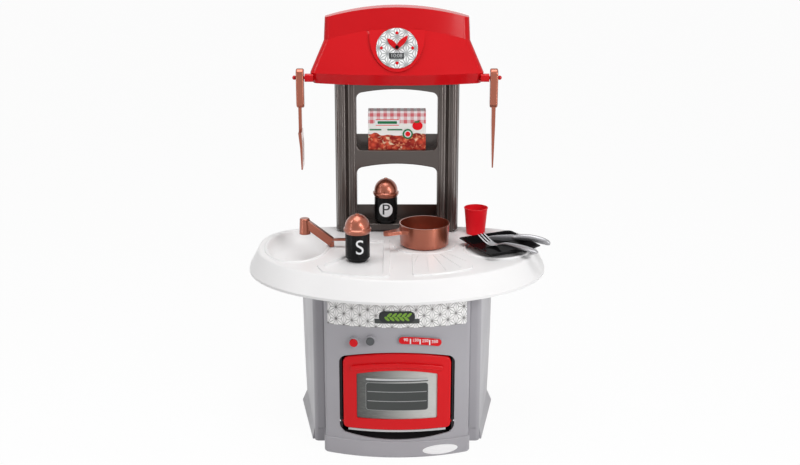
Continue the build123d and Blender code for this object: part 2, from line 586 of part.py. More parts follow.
def worktop():
    """Oval worktop shell with sink, draining tray, hob ring, ribbed pad and plate rest."""

    def body(inset, low_z, high_z):
        lip = oval_face(low_z, inset, LIP_HALF_WIDTH, LIP_FRONT_Y, LIP_BACK_Y, 2.0)
        crown = oval_face(high_z, inset, TOP_HALF_WIDTH, TOP_FRONT_Y, TOP_BACK_Y, 1.8)
        return loft([lip, crown], ruled=True)

    lip_z = LIP_Z + LIP_BEAD
    top = body(0, lip_z, TOP_Z)
    top = fillet(top.edges().group_by(Axis.Z)[-1], TOP_EDGE_RADIUS)
    rim = oval_face(LIP_Z, -1.5, LIP_HALF_WIDTH - 1.5, LIP_FRONT_Y + 1.5, LIP_BACK_Y - 1.5, 2.0)
    top += extrude(rim, LIP_BEAD)
    hollow = body(WALL, lip_z, TOP_Z - WALL) + extrude(
        oval_face(LIP_Z, WALL, LIP_HALF_WIDTH, LIP_FRONT_Y, LIP_BACK_Y, 2.0), LIP_BEAD
    )
    top -= hollow

    # Ribs under the top stand on the side panels, and the bowl hangs between them
    run = Vector(PANEL_BACK_X - PANEL_FRONT_X, PANEL_BACK_Y - PANEL_FRONT_Y, 0)
    splay = math.degrees(math.atan2(run.X, run.Y))
    for side in (-1, 1):
        middle_x = side * ((PANEL_FRONT_X + PANEL_BACK_X) / 2 - WALL / 2)
        rib_height = TOP_Z - WALL / 2 - PANEL_TOP - SEAT_GAP
        rib = Box(WALL, run.length - 50, rib_height, align=(Align.CENTER, Align.CENTER, Align.MIN))
        rib_place = Pos(middle_x, (PANEL_FRONT_Y + PANEL_BACK_Y) / 2, PANEL_TOP + SEAT_GAP)
        top += rib_place * Rot(0, 0, -side * splay) * rib
        short_height = TOP_Z - WALL / 2 - SHELL_TOP - SEAT_GAP
        short = Box(WALL, 44, short_height, align=(Align.CENTER, Align.MIN, Align.MIN))
        top += Pos(side * (FRONT_HALF_WIDTH - WALL / 2), SHELL_BACK_Y - 48, SHELL_TOP + SEAT_GAP) * short
    top += sink_bowl(WALL) & Pos(0, 0, TOP_Z - 50) * Box(800, 800, 100)
    rim_path = Pos(SINK_X, SINK_Y, TOP_Z + RIDGE_HEIGHT - RIDGE_RADIUS) * Ellipse(
        SINK_HALF_WIDTH + RIDGE_RADIUS, SINK_HALF_LENGTH + RIDGE_RADIUS
    )
    path = rim_path.edges()[0]
    above = Pos(0, 0, TOP_Z - 1) * Box(800, 800, 100, align=(Align.CENTER, Align.CENTER, Align.MIN))
    top += sweep(Plane(path @ 0, z_dir=path % 0) * Circle(RIDGE_RADIUS), path=path) & above

    top += Pos(0, 0, TOP_Z - 1) * extrude(tray_outline(0, 9), TRAY_RAISE + 1, taper=25)
    well = tray_outline(TRAY_BAND, 6)
    top -= Pos(0, 0, TOP_Z + TRAY_RAISE - TRAY_SINK) * extrude(well, TRAY_SINK + 1, taper=-20)

    fan = fan_outline() - Pos(HOB_X, HOB_Y) * Circle(HOB_RADIUS + 2)
    top += Pos(0, 0, TOP_Z - 1) * extrude(fan, FAN_RAISE + 1, taper=25)
    top += Pos(HOB_X, HOB_Y, TOP_Z - 1) * extrude(Circle(HOB_RADIUS), HOB_RAISE + 1, taper=20)
    for i in range(FAN_GROOVES):
        angle = math.radians(FAN_GROOVE_START + i * FAN_GROOVE_STEP)
        reach = Vector(math.cos(angle), math.sin(angle), 0)
        start, end = HOB_RADIUS + 6, FAN_GROOVE_REACH - i * 6
        middle = Vector(HOB_X, HOB_Y, TOP_Z + FAN_RAISE) + reach * ((start + end) / 2)
        groove = Box(end - start, 1.4, 2.4)
        top -= Pos(middle) * Rot(0, 0, math.degrees(angle)) * groove
    rest = Pos(REST_X, REST_Y, TOP_Z + RIDGE_HEIGHT - RIDGE_RADIUS) * Torus(REST_RADIUS, RIDGE_RADIUS)
    top += rest & above
    top -= Pos(DIMPLE_X, DIMPLE_Y, TOP_Z) * Cylinder(DIMPLE_RADIUS, 2)
    seat = Pos(TAP_X, TAP_Y, TAP_SEAT_Z)
    top += seat * Pos(0, 0, -TAP_SEAT_RAISE - WALL / 2) * Cylinder(
        TAP_PAD_RADIUS, TAP_SEAT_RAISE + WALL / 2, align=(Align.CENTER, Align.CENTER, Align.MIN)
    )
    top -= seat * Cylinder(TAP_PAD_RADIUS, 40, align=(Align.CENTER, Align.CENTER, Align.MIN))
    top -= sink_bowl(0)
    top -= seat * Cylinder(TAP_STEM_RADIUS + RUN_GAP, 40)
    for place in post_screw_places():
        top -= place * Cylinder(SCREW_RADIUS + RUN_GAP, 6 * WALL)
    return top


def post_screw_places():
    """Places of the screws from the worktop into the back unit's feet, with Z up along each screw."""
    return [
        Pos(side * POST_SCREW_X, y, TOP_Z - WALL) for side in (-1, 1) for y in POST_SCREW_YS
    ]


def hood_screw_places():
    """Places of the screws from the hood's deck down into the back unit's top, with Z along each screw."""
    return [Pos(side * HOOD_SCREW_X, UNIT_MID_Y, UNIT_TOP_Z + WALL) * Rot(180, 0, 0) for side in (-1, 1)]


def screws():
    """All screws: head below the place, shank through both walls."""
    shank_length = 2 * WALL + SEAT_GAP
    head = Pos(0, 0, -SCREW_HEAD_HEIGHT / 2) * Cylinder(SCREW_HEAD_RADIUS, SCREW_HEAD_HEIGHT)
    shank = Pos(0, 0, shank_length / 2 - 0.5) * Cylinder(SCREW_RADIUS, shank_length + 1)
    slot = Pos(0, 0, -SCREW_HEAD_HEIGHT) * (Box(4.4, 0.9, 1.6) + Box(0.9, 4.4, 1.6))
    screw = head + shank - slot
    places = panel_screw_places() + post_screw_places() + hood_screw_places()
    return Compound([place * screw for place in places])


def unit_opening(floor_z, shoulder_z, crown_z, grow=0.0):
    """Front-view outline of one window of the back unit."""
    half_width = OPENING_HALF_WIDTH + grow
    return arched_frame(half_width, floor_z - grow, shoulder_z + grow, crown_z + grow, OPENING_CORNER)


def flute(x, height):
    """Soft-edged groove down the front of a post, as the solid that is cut away."""
    start, end = x - FLUTE_HALF_WIDTH, x + FLUTE_HALF_WIDTH
    bottom = (x, UNIT_FRONT_Y + FLUTE_DEPTH)
    bed = Spline((start, UNIT_FRONT_Y), bottom, (end, UNIT_FRONT_Y), tangents=[(1, 0), (1, 0)])
    outside_y = UNIT_FRONT_Y - 5
    sides = Polyline((end, UNIT_FRONT_Y), (end, outside_y), (start, outside_y), (start, UNIT_FRONT_Y))
    return Pos(0, 0, TOP_Z - 10) * extrude(make_face([bed, sides]), height + 20)


def back_unit():
    """Back unit: two fluted posts, two windows with shelves and back lips, open behind."""
    height = UNIT_TOP_Z - TOP_Z
    depth = UNIT_BACK_Y - UNIT_FRONT_Y
    mid_y, mid_z = UNIT_MID_Y, TOP_Z + height / 2
    block = Pos(0, mid_y, mid_z) * Box(2 * UNIT_HALF_WIDTH, depth, height)
    front_corners = block.edges().filter_by(Axis.Z).group_by(Axis.Y)[0]
    block = fillet(front_corners, POST_ROUND)
    feet = block.edges().group_by(Axis.Z)[0].filter_by(Axis.Y)
    block = chamfer(feet, 5.0)
    for side in (-1, 1):
        block -= flute(side * FLUTE_X, height)

    openings = (
        (LOWER_FLOOR_Z, LOWER_SHOULDER_Z, LOWER_CROWN_Z),
        (UPPER_FLOOR_Z, UPPER_SHOULDER_Z, UPPER_CROWN_Z),
    )
    shell = block
    inner_x = UNIT_HALF_WIDTH - WALL
    rear = Pos(0, mid_y + WALL, mid_z) * Box(2 * inner_x, depth, height - 2 * WALL)
    backing_depth = FLUTE_DEPTH + WALL
    for side in (-1, 1):
        backing = Box(2 * FLUTE_HALF_WIDTH + WALL, 2 * backing_depth, height)
        rear -= Pos(side * FLUTE_X, UNIT_FRONT_Y, mid_z) * backing
    for floor_z, shoulder_z, crown_z in openings:
        outline = unit_opening(floor_z, shoulder_z, crown_z, WALL)
        sleeve = extrude(Plane.XZ.offset(-UNIT_BACK_Y - 20) * outline, 100)
        rear -= sleeve
    shell -= rear
    for floor_z, shoulder_z, crown_z in openings:
        hole = extrude(Plane.XZ.offset(-UNIT_BACK_Y - 20) * unit_opening(floor_z, shoulder_z, crown_z), 100)
        shell -= hole
    for floor_z, lip in ((LOWER_FLOOR_Z, LOWER_LIP), (UPPER_FLOOR_Z, UPPER_LIP)):
        lip_box = Box(
            2 * OPENING_HALF_WIDTH + WALL, WALL, lip + WALL, align=(Align.CENTER, Align.MAX, Align.MIN)
        )
        shell += Pos(0, UNIT_BACK_Y, floor_z - WALL) * lip_box
    front_face = shell.faces().filter_by(Axis.Y).group_by(Axis.Y)[0].sort_by(SortBy.AREA)[-1]
    rims = [edge for wire in front_face.inner_wires() for edge in wire.edges()]
    shell = shell.solid().fillet(OPENING_ROUND, rims)
    for place in post_screw_places() + hood_screw_places():
        shell -= place * Cylinder(SCREW_RADIUS + RUN_GAP, 6 * WALL)
    return shell


def hood_section(z, half_width, front_y, bow, inset):
    """Horizontal section of the hood: straight back and sides and a bowed front."""
    half, front, back = half_width - inset, front_y + inset, HOOD_BACK_Y - inset
    sides = Polyline((half, front + bow), (half, back), (-half, back), (-half, front + bow))
    face = make_face([sides, ThreePointArc((-half, front + bow), (0, front), (half, front + bow))])
    front_corners = face.vertices().filter_by(lambda v: v.Y < back - 1)
    return Pos(0, 0, z) * fillet(front_corners, HOOD_CORNER - inset)


def hood_form(inset):
    """Hood without its trim: drawn-in eave, flared tier and arched crown, drawn in by inset."""
    top_z = CROWN_TOP_Z - inset
    rise = CREASE_Z - EAVE_Z
    bottom_z = EAVE_BOTTOM_Z - (1 if inset else 0)
    eave = loft([
        hood_section(bottom_z, EAVE_BOTTOM_HALF_WIDTH, EAVE_BOTTOM_FRONT_Y, EAVE_BOW, inset),
        hood_section(EAVE_Z, EAVE_HALF_WIDTH, EAVE_FRONT_Y, EAVE_BOW, inset),
    ], ruled=True)
    flare = loft([
        hood_section(EAVE_Z, EAVE_HALF_WIDTH, EAVE_FRONT_Y, EAVE_BOW, inset),
        hood_section(CREASE_Z, CREASE_HALF_WIDTH, CREASE_FRONT_Y, CREASE_BOW, inset),
    ], ruled=True)
    low_z = EAVE_Z + rise * CROWN_LOW_SHARE
    crown = loft([
        hood_section(low_z, CROWN_HALF_WIDTH, CROWN_FRONT_Y, CROWN_BOW, inset),
        hood_section(CROWN_TOP_Z + 6, CROWN_TOP_HALF_WIDTH, CROWN_TOP_FRONT_Y, CROWN_BOW, inset),
    ], ruled=True)
    arch_place = Pos(0, HOOD_BACK_Y - 100, top_z - CROWN_ARCH_RADIUS) * Rot(90, 0, 0)
    arch = arch_place * Cylinder(CROWN_ARCH_RADIUS, 500)
    return (eave + flare + crown) & arch


def clock_plane(raise_by):
    """Plane of the clock, raised along the normal of the hood's face."""
    origin = Vector(0, CLOCK_Y, CLOCK_Z) + FACE_NORMAL * raise_by
    return Plane(origin=origin, x_dir=(1, 0, 0), z_dir=FACE_NORMAL)


def hood():
    """Red hood: hollow shell on the back unit, with the clock's shield and two utensil pegs."""
    solid = hood_form(0)
    shield = Pos(0, SHIELD_CENTRE) * (
        Ellipse(SHIELD_HALF_WIDTH, SHIELD_DROP) & Pos(0, -SHIELD_DROP / 2) * Rectangle(200, SHIELD_DROP)
    )
    shield += Pos(0, SHIELD_CENTRE + 5) * Rectangle(2 * SHIELD_HALF_WIDTH, 10)
    pad = extrude(clock_plane(-10) * shield, 10 + SHIELD_RAISE)
    solid += pad
    shell = solid - hood_form(WALL)
    deck_z = UNIT_TOP_Z + WALL / 2
    deck = Pos(0, UNIT_MID_Y, deck_z) * Box(400, UNIT_BACK_Y - UNIT_FRONT_Y + 20, WALL)
    shell += deck & hood_form(WALL / 2)
    for place in hood_screw_places():
        shell -= place * Cylinder(SCREW_RADIUS + RUN_GAP, 6 * WALL)
    shell -= clock_plane(SHIELD_RAISE) * Cylinder(CLOCK_RADIUS + 0.2, 2 * (DIAL_THICKNESS - 1))
    for side in (-1, 1):
        arm_start = EAVE_HALF_WIDTH - 6
        arm_x = side * (arm_start + ARM_END_X) / 2
        arm = Pos(arm_x, PEG_Y, PEG_Z) * Box(ARM_END_X - arm_start, ARM_DEPTH, ARM_HEIGHT)
        arm = fillet(arm.edges().filter_by(Axis.X), 4)
        peg_length = PEG_END_X - PEG_TIP_RADIUS - ARM_END_X + 2
        peg = Pos(side * (ARM_END_X - 2 + peg_length / 2), PEG_Y, PEG_Z) * Rot(0, 90, 0) * Cylinder(
            PEG_RADIUS, peg_length
        )
        tip = Pos(side * (PEG_END_X - PEG_TIP_RADIUS), PEG_Y, PEG_Z) * Sphere(PEG_TIP_RADIUS)
        shell += arm + peg + tip
    return shell


def clock_dial():
    """Round clock face, let into the shield, with the spindle of the hands."""
    thickness = DIAL_THICKNESS
    disc = Pos(0, 0, thickness / 2) * Cylinder(CLOCK_RADIUS, thickness)
    disc = fillet(disc.edges().sort_by(Axis.Z)[-1], 0.6)
    spindle_length = 2 * HAND_THICKNESS + 3 * HAND_GAP + 1
    spindle = Pos(0, 0, thickness + spindle_length / 2 - 0.5) * Cylinder(SPINDLE_RADIUS, spindle_length + 1)
    return clock_plane(SHIELD_RAISE - DIAL_THICKNESS + 1) * (disc + spindle)


def hand(length, level, angle):
    """Leaf-shaped clock hand at one level above the dial, turned clockwise from twelve."""
    half = HAND_WIDTH / 2
    leaf = make_face([
        ThreePointArc((0, -4), (half, length * 0.5), (0, length)),
        ThreePointArc((0, length), (-half, length * 0.5), (0, -4)),
    ])
    leaf += Circle(HUB_RADIUS)
    base = 1 + SHIELD_RAISE + HAND_GAP + level * (HAND_THICKNESS + HAND_GAP)
    blade = extrude(leaf, HAND_THICKNESS) - Cylinder(SPINDLE_RADIUS + RUN_GAP, 20)
    return clock_plane(base) * (Rot(0, 0, -angle) * blade)


def clock_hub():
    """Cap on the spindle, which keeps the hands on."""
    base = 1 + SHIELD_RAISE + 2 * (HAND_THICKNESS + HAND_GAP) + HAND_GAP
    spindle_top = 1 + SHIELD_RAISE + 2 * HAND_THICKNESS + 3 * HAND_GAP + 1
    cap = extrude(Circle(HUB_RADIUS), 2.6)
    cap = fillet(cap.edges().sort_by(Axis.Z)[-1], 1.2)
    socket = extrude(Circle(SPINDLE_RADIUS), spindle_top - base)
    return clock_plane(base) * (cap - socket)


def tap_bar(length, lift=0.0):
    """Bar of the tap from its low end, as a box that rises towards the nozzle, lifted off its own faces."""
    end_x, end_z = TAP_BAR_END
    size = (length + 2 * lift, TAP_BAR_WIDTH + 2 * lift, TAP_BAR_HEIGHT + 2 * lift)
    bar = Pos(lift, 0, lift) * Box(*size, align=(Align.MAX, Align.CENTER, Align.MAX))
    return Pos(end_x, 0, end_z) * Rot(0, TAP_BAR_SLOPE, 0) * bar


def tap_spout():
    """Tap: post on the worktop's pad, rising bar and round nozzle over the sink."""
    upright = (Align.CENTER, Align.CENTER, Align.MIN)
    post = Pos(0, 0, SEAT_GAP) * Cylinder(TAP_POST_RADIUS, TAP_POST_HEIGHT, align=upright)
    stem = Pos(0, 0, -TAP_STEM_DROP) * Cylinder(TAP_STEM_RADIUS, TAP_STEM_DROP + 2, align=upright)
    run = (NOZZLE_REACH + TAP_BAR_END[0]) / math.cos(math.radians(TAP_BAR_SLOPE))
    bar = tap_bar(run - NOZZLE_RADIUS / 2)
    bar = fillet(bar.edges(), 0.9)
    tip = Pos(-NOZZLE_REACH, 0, NOZZLE_RISE)
    nozzle = Cone(NOZZLE_RADIUS, NOZZLE_TOP_RADIUS, NOZZLE_HEIGHT, align=upright)
    nozzle = fillet(nozzle.edges().sort_by(Axis.Z)[-1], 2.2)
    bore = Cylinder(NOZZLE_RADIUS - NOZZLE_WALL, 2 * NOZZLE_WALL, align=upright)
    return Pos(TAP_X, TAP_Y, TAP_SEAT_Z) * (post + stem + bar + tip * nozzle - tip * bore)


def tap_lever():
    """Small lever on the low end of the tap's bar."""
    end_x, end_z = TAP_BAR_END
    lever = Pos(end_x - LEVER_THICKNESS, 0, end_z - LEVER_THICKNESS / 2) * Box(
        LEVER_LENGTH, LEVER_WIDTH, LEVER_THICKNESS, align=(Align.MIN, Align.CENTER, Align.CENTER)
    )
    lever = fillet(lever.edges().filter_by(Axis.Z).group_by(Axis.X)[-1], LEVER_WIDTH / 2 - 0.1)
    return Pos(TAP_X, TAP_Y, TAP_SEAT_Z) * (lever - tap_bar(3 * TAP_BAR_HEIGHT, RUN_GAP))


def tap_nut():
    """Ring under the worktop that keeps the tap in its hole."""
    ring = Cylinder(TAP_STEM_RADIUS + TAP_NUT_RING, WALL) - Cylinder(TAP_STEM_RADIUS, 2 * WALL)
    return Pos(TAP_X, TAP_Y, TOP_Z - WALL - SEAT_GAP - WALL / 2) * ring


def hang_handle():
    """Rounded handle of a hanging utensil with its hole on the peg, its centre at X = 0."""
    z = HANDLE_TOP_Z - HANDLE_LENGTH / 2
    grip = Pos(0, PEG_Y, z) * Box(HANDLE_THICKNESS, HANDLE_WIDTH, HANDLE_LENGTH)
    grip = fillet(grip.edges().filter_by(Axis.X), HANDLE_WIDTH / 2 - 1)
    grip = fillet(grip.faces().filter_by(Axis.X).edges(), HANDLE_EDGE)
    hole_z = PEG_Z - (HANG_HOLE_RADIUS - PEG_RADIUS - SEAT_GAP)
    hole = Pos(0, PEG_Y, hole_z) * Rot(0, 90, 0) * Cylinder(HANG_HOLE_RADIUS, 3 * HANDLE_THICKNESS)
    return grip, hole


def edge_profile(points):
    """Front-view side outline of a utensil's blade as a face."""
    return make_face(Polyline(*points, points[0]))


def turner():
    """Hanging turner on the left peg: handle, thin shaft and a bent slotted blade."""
    grip, hole = hang_handle()
    shaft_z = HANDLE_TOP_Z - HANDLE_LENGTH
    bend_z = 523.0
    shaft = Pos(-1, PEG_Y, (shaft_z + bend_z) / 2 + 3) * Box(6, 11, shaft_z - bend_z + 14)
    outline = edge_profile([
        (-4, bend_z + 5), (2, bend_z + 5), (3.6, 500), (3.2, UTENSIL_TIP_Z), (0.6, UTENSIL_TIP_Z), (-1, 500),
    ])
    blade = Plane.XZ.offset(-PEG_Y - TURNER_WIDTH / 2) * extrude(outline, TURNER_WIDTH)
    for y in (-11, 0, 11):
        blade -= Pos(0, PEG_Y + y, 492) * Box(30, 4.5, 42)
    body = grip + shaft + blade - hole
    return Pos(-HANG_X, 0, 0) * body


def hanging_knife():
    """Hanging knife on the right peg: handle and a tapering blade."""
    grip, hole = hang_handle()
    root_z = HANDLE_TOP_Z - HANDLE_LENGTH
    outline = make_face(Polyline(
        (PEG_Y - 8, root_z + 6), (PEG_Y + 8, root_z + 6), (PEG_Y + KNIFE_BLADE_WIDTH / 2, 545),
        (PEG_Y + 9, 490), (PEG_Y - 6, UTENSIL_TIP_Z), (PEG_Y - 9, 480), (PEG_Y - 9, root_z - 4),
        (PEG_Y - 8, root_z + 6),
    ))
    slab = Plane.YZ.offset(-4) * extrude(outline, 8)
    taper = Plane.XZ.offset(-PEG_Y - 40) * extrude(
        edge_profile([(-3.6, root_z + 10), (3.6, root_z + 10), (3.4, 540), (1.4, UTENSIL_TIP_Z - 1),
                      (-1.0, UTENSIL_TIP_Z - 1), (-3.2, 540)]), 80)
    body = grip + (slab & taper) - hole
    return Pos(HANG_X, 0, 0) * body


def shaker_body():
    """Shaker body on z = 0: chamfered foot, straight side and a neck for the cap."""
    neck, shoulder = SHAKER_RADIUS - SHAKER_STEP, SHAKER_SHOULDER
    inner = neck - SHAKER_WALL
    profile = Polyline(
        (0, 0), (SHAKER_FOOT_RADIUS, 0), (SHAKER_RADIUS, SHAKER_CHAMFER), (SHAKER_RADIUS, shoulder),
        (neck, shoulder), (neck, shoulder + SHAKER_NECK), (inner, shoulder + SHAKER_NECK),
        (inner, SHAKER_CHAMFER), (inner - SHAKER_CHAMFER / 2, SHAKER_WALL), (0, SHAKER_WALL), (0, 0),
    )
    return revolve(Plane.XZ * make_face(profile), Axis.Z)


def shaker_cap():
    """Domed cap with a band, on the shaker's neck."""
    seat = SHAKER_SHOULDER + SEAT_GAP
    top = seat + CAP_HEIGHT
    bore = SHAKER_RADIUS - SHAKER_STEP + FIT_GAP
    dome, shoulder = CAP_DOME_RADIUS, seat + CAP_BAND_HEIGHT
    outer = make_face([
        Polyline((bore, seat), (CAP_BAND_RADIUS - 2.2, seat), (CAP_BAND_RADIUS, seat + 4.5),
                 (CAP_BAND_RADIUS, shoulder - 2), (dome, shoulder)),
        ThreePointArc((dome, shoulder), (dome * 0.75, shoulder + 15.7), (CAP_NUB_RADIUS, top - 1.4)),
        Polyline((CAP_NUB_RADIUS, top - 1.4), (CAP_NUB_RADIUS - 1, top), (0, top), (0, top - 4)),
        ThreePointArc((0, top - 4), (dome * 0.66, top - 10.5), (bore, shoulder + 1)),
        Line((bore, shoulder + 1), (bore, seat)),
    ])
    return revolve(Plane.XZ * outer, Axis.Z)


def saucepan():
    """Saucepan with a flared stub handle and a rim."""
    outer = Polyline(
        (0, 0), (PAN_BASE_RADIUS - 3, 0), (PAN_BASE_RADIUS, 3), (PAN_TOP_RADIUS - 0.6, PAN_HEIGHT - 2.5),
        (PAN_TOP_RADIUS, PAN_HEIGHT - 2), (PAN_TOP_RADIUS, PAN_HEIGHT),
        (PAN_TOP_RADIUS - PAN_WALL, PAN_HEIGHT),
        (PAN_BASE_RADIUS - PAN_WALL, 4), (PAN_BASE_RADIUS - PAN_WALL - 2, PAN_WALL), (0, PAN_WALL), (0, 0),
    )
    pot = revolve(Plane.XZ * make_face(outer), Axis.Z)
    reach = PAN_TOP_RADIUS + PAN_HANDLE_LENGTH
    root = PAN_TOP_RADIUS - 2.5
    outline = make_face(Polyline(
        (root * 0.92, -17), (root + 8, -8.5), (reach - 5, -6.5), (reach, -3), (reach, 3), (reach - 5, 6.5),
        (root + 8, 8.5), (root * 0.92, 17), (root * 0.92, -17),
    ))
    handle = Pos(0, 0, PAN_HEIGHT - 13) * extrude(outline, 6.5)
    handle = fillet(handle.edges().filter_by(Axis.Z), 2.0)
    bore = Pos(0, 0, PAN_HEIGHT - 20) * Cylinder(PAN_TOP_RADIUS - PAN_WALL, 40)
    pan = pot + Rot(0, 0, PAN_HANDLE_ANGLE) * (handle - bore)
    return Pos(HOB_X, HOB_Y, HOB_TOP_Z + SEAT_GAP) * pan


def cup():
    """Tapered beaker with a rolled rim."""
    profile = Polyline(
        (0, 0), (CUP_BASE_RADIUS - 0.8, 0), (CUP_BASE_RADIUS, 0.8), (CUP_TOP_RADIUS - 0.8, CUP_HEIGHT - 2),
        (CUP_TOP_RADIUS, CUP_HEIGHT - 1.6), (CUP_TOP_RADIUS, CUP_HEIGHT),
        (CUP_TOP_RADIUS - CUP_WALL, CUP_HEIGHT),
        (CUP_BASE_RADIUS - CUP_WALL, CUP_WALL), (0, CUP_WALL), (0, 0),
    )
    body = revolve(Plane.XZ * make_face(profile), Axis.Z)
    return Pos(CUP_X, CUP_Y, TOP_Z + SEAT_GAP) * body


def plate():
    """Square plate with an upturned rim and rounded corners."""

    def slab(low_side, high_side, low_z):
        low = Pos(0, 0, low_z) * RectangleRounded(low_side, low_side, PLATE_CORNER)
        high = Pos(0, 0, low_z + PLATE_HEIGHT) * RectangleRounded(high_side, high_side, PLATE_CORNER)
        return loft([low, high], ruled=True)

    spread = (PLATE_SIDE - PLATE_BASE_SIDE) / PLATE_HEIGHT
    inner_base = PLATE_BASE_SIDE - PLATE_WALL
    inner_side = inner_base + spread * PLATE_HEIGHT
    dish = slab(PLATE_BASE_SIDE, PLATE_SIDE, 0) - slab(inner_base, inner_side, PLATE_WALL)
    return Pos(PLATE_X, PLATE_Y, PLATE_Z) * Rot(0, 0, PLATE_TURN) * dish


def cutlery_plane(start, heading):
    """Upright plane along a piece of cutlery: local X runs along it, local Y is up."""
    along = Vector(math.cos(math.radians(heading)), math.sin(math.radians(heading)), 0)
    return Plane(origin=start, x_dir=along, z_dir=Vector(along.Y, -along.X, 0))


def bent_bar(levels, thicknesses, width):
    """Bar seen from the side: centre heights and thicknesses at stations along its length."""
    top = [(s, z + t / 2) for (s, z), t in zip(levels, thicknesses)]
    low = [(s, z - t / 2) for (s, z), t in zip(levels, thicknesses)]
    side = make_face([
        Spline(*top), Line(top[-1], low[-1]), Spline(*reversed(low)), Line(low[0], top[0]),
    ])
    return Pos(0, 0, -width / 2) * extrude(side, width)


def fork():
    """Toy fork across the plate: three curved tines, a narrow neck and an arched handle."""
    stations = ((0, 17.2), (12, 10.2), (30, 2.2), (44, 5.2), (58, 11.7), (78, 12.7), (110, 14.2), (139, 12.2))
    thick = (2.0, 2.6, 3.0, 3.4, 4.4, 6.4, 7.0, 5.0)
    bar = bent_bar(stations, thick, 22)
    outline = Polyline(
        (0, -10), (0, 10), (30, 10.5), (40, 6), (52, 4), (80, 6.5), (120, 7), (136, 5), (139, 2), (139, -2),
        (136, -5), (120, -7), (80, -6.5), (52, -4), (40, -6), (30, -10.5), (0, -10),
    )
    shape = Plane.XZ.offset(-50) * make_face(outline)
    mask = extrude(shape, 100)
    piece = bar & mask
    for offset_y in (-4.6, 4.6):
        gap = Box(32, 60, 3.4, align=(Align.MIN, Align.CENTER, Align.CENTER))
        piece -= Pos(-4, 10, offset_y) * gap
    return cutlery_plane((*FORK_START, PLATE_Z + FORK_RAISE), FORK_HEADING) * piece


def table_knife():
    """Toy knife across the plate: flat blade turned on its side and an arched handle."""
    stations = ((0, 0.0), (20, 3.0), (45, 6.5), (60, 8.0), (80, 7.0), (105, 3.0), (120, -1.0))
    blade = bent_bar(stations[:4], (9.0, 13.0, 14.0, 12.0), 2.6)
    handle = bent_bar(stations[3:], (10.5, 11.5, 11.5, 8.0), 9.0)
    return cutlery_plane((*KNIFE_START, PLATE_Z + KNIFE_RAISE), KNIFE_HEADING) * (blade + handle)


def carton():
    """Small food carton for the upper shelf."""
    box = Box(CARTON_WIDTH, CARTON_DEPTH, CARTON_HEIGHT, align=(Align.CENTER, Align.CENTER, Align.MIN))
    box = fillet(box.edges().filter_by(Axis.Z), 0.8)
    return Pos(0, CARTON_Y, UPPER_FLOOR_Z + SEAT_GAP) * box


def save(name, shape):
    """Write one sub-part as a STEP file."""
    shape.label = name
    export_step(shape, f"parts/{name}.step")


def main():
    """Build and write every sub-part."""
    os.makedirs("parts", exist_ok=True)
    panel, clip, body, cap = side_panel(), panel_clip(), shaker_body(), shaker_cap()
    salt = Pos(SALT_X, SALT_Y, SALT_Z)
    pepper = Pos(PEPPER_X, PEPPER_Y, LOWER_FLOOR_Z + SEAT_GAP)
    save("front_shell", front_shell())
    save("side_panel_right", panel)
    save("side_panel_left", mirror(panel, Plane.YZ))
    save("panel_clips", Compound([clip, mirror(clip, Plane.YZ)]))
    save("oven_cavity", oven_cavity())
    save("fascia_band", fascia_band())
    save("scale_plate", scale_plate())
    save("button_red", button(BUTTON_XS[0]))
    save("button_grey", button(BUTTON_XS[1]))
    save("door_frame", door_frame())
    save("door_window", door_window())
    save("worktop", worktop())
    save("back_unit", back_unit())
    save("hood", hood())
    save("clock_dial", clock_dial())
    save("clock_hour_hand", hand(HOUR_LENGTH, 0, -46))
    save("clock_minute_hand", hand(MINUTE_LENGTH, 1, 42))
    save("clock_hub", clock_hub())
    save("tap_spout", tap_spout())
    save("tap_lever", tap_lever())
    save("tap_nut", tap_nut())
    save("turner", turner())
    save("hanging_knife", hanging_knife())
    save("salt_body", salt * body)
    save("salt_cap", salt * cap)
    save("pepper_body", pepper * body)
    save("pepper_cap", pepper * cap)
    save("saucepan", saucepan())
    save("cup", cup())
    save("plate", plate())
    save("fork", fork())
    save("table_knife", table_knife())
    save("carton", carton())
    save("screws", screws())


if __name__ == "__main__":
    main()
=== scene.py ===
"""Look of the toddler's play kitchen: finishes and fine pieces on the fixed CAD frame. Metres, Z up."""

import logging
import math
from dataclasses import dataclass
from enum import Enum

import bpy
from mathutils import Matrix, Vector


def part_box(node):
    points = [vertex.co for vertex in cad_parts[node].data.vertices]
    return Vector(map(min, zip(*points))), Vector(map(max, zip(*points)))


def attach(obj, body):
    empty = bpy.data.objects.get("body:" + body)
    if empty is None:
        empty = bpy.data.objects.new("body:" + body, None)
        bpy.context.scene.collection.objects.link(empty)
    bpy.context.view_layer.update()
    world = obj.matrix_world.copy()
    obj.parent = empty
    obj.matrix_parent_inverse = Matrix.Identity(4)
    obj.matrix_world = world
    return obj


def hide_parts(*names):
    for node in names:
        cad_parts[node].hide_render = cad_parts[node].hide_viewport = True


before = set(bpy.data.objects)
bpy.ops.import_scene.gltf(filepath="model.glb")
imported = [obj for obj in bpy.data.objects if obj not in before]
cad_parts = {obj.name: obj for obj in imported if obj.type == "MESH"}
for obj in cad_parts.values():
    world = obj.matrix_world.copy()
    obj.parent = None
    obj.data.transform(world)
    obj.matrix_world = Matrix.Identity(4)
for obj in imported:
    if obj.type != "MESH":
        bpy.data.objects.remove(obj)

LOG = logging.getLogger("play_kitchen")
MM = 0.001
ORIGIN = (0.0, 0.0, 0.0)
UPRIGHT = (math.pi / 2, 0.0, 0.0)
NOISE_LOW, NOISE_HIGH = 0.2, 0.8
Colour = tuple[float, float, float]
Place = tuple[float, float, float]
Pair = tuple[float, float]
Socket = bpy.types.NodeSocket
Feeds = dict[str | int, object]
Look = bpy.types.Material
Piece = bpy.types.Object


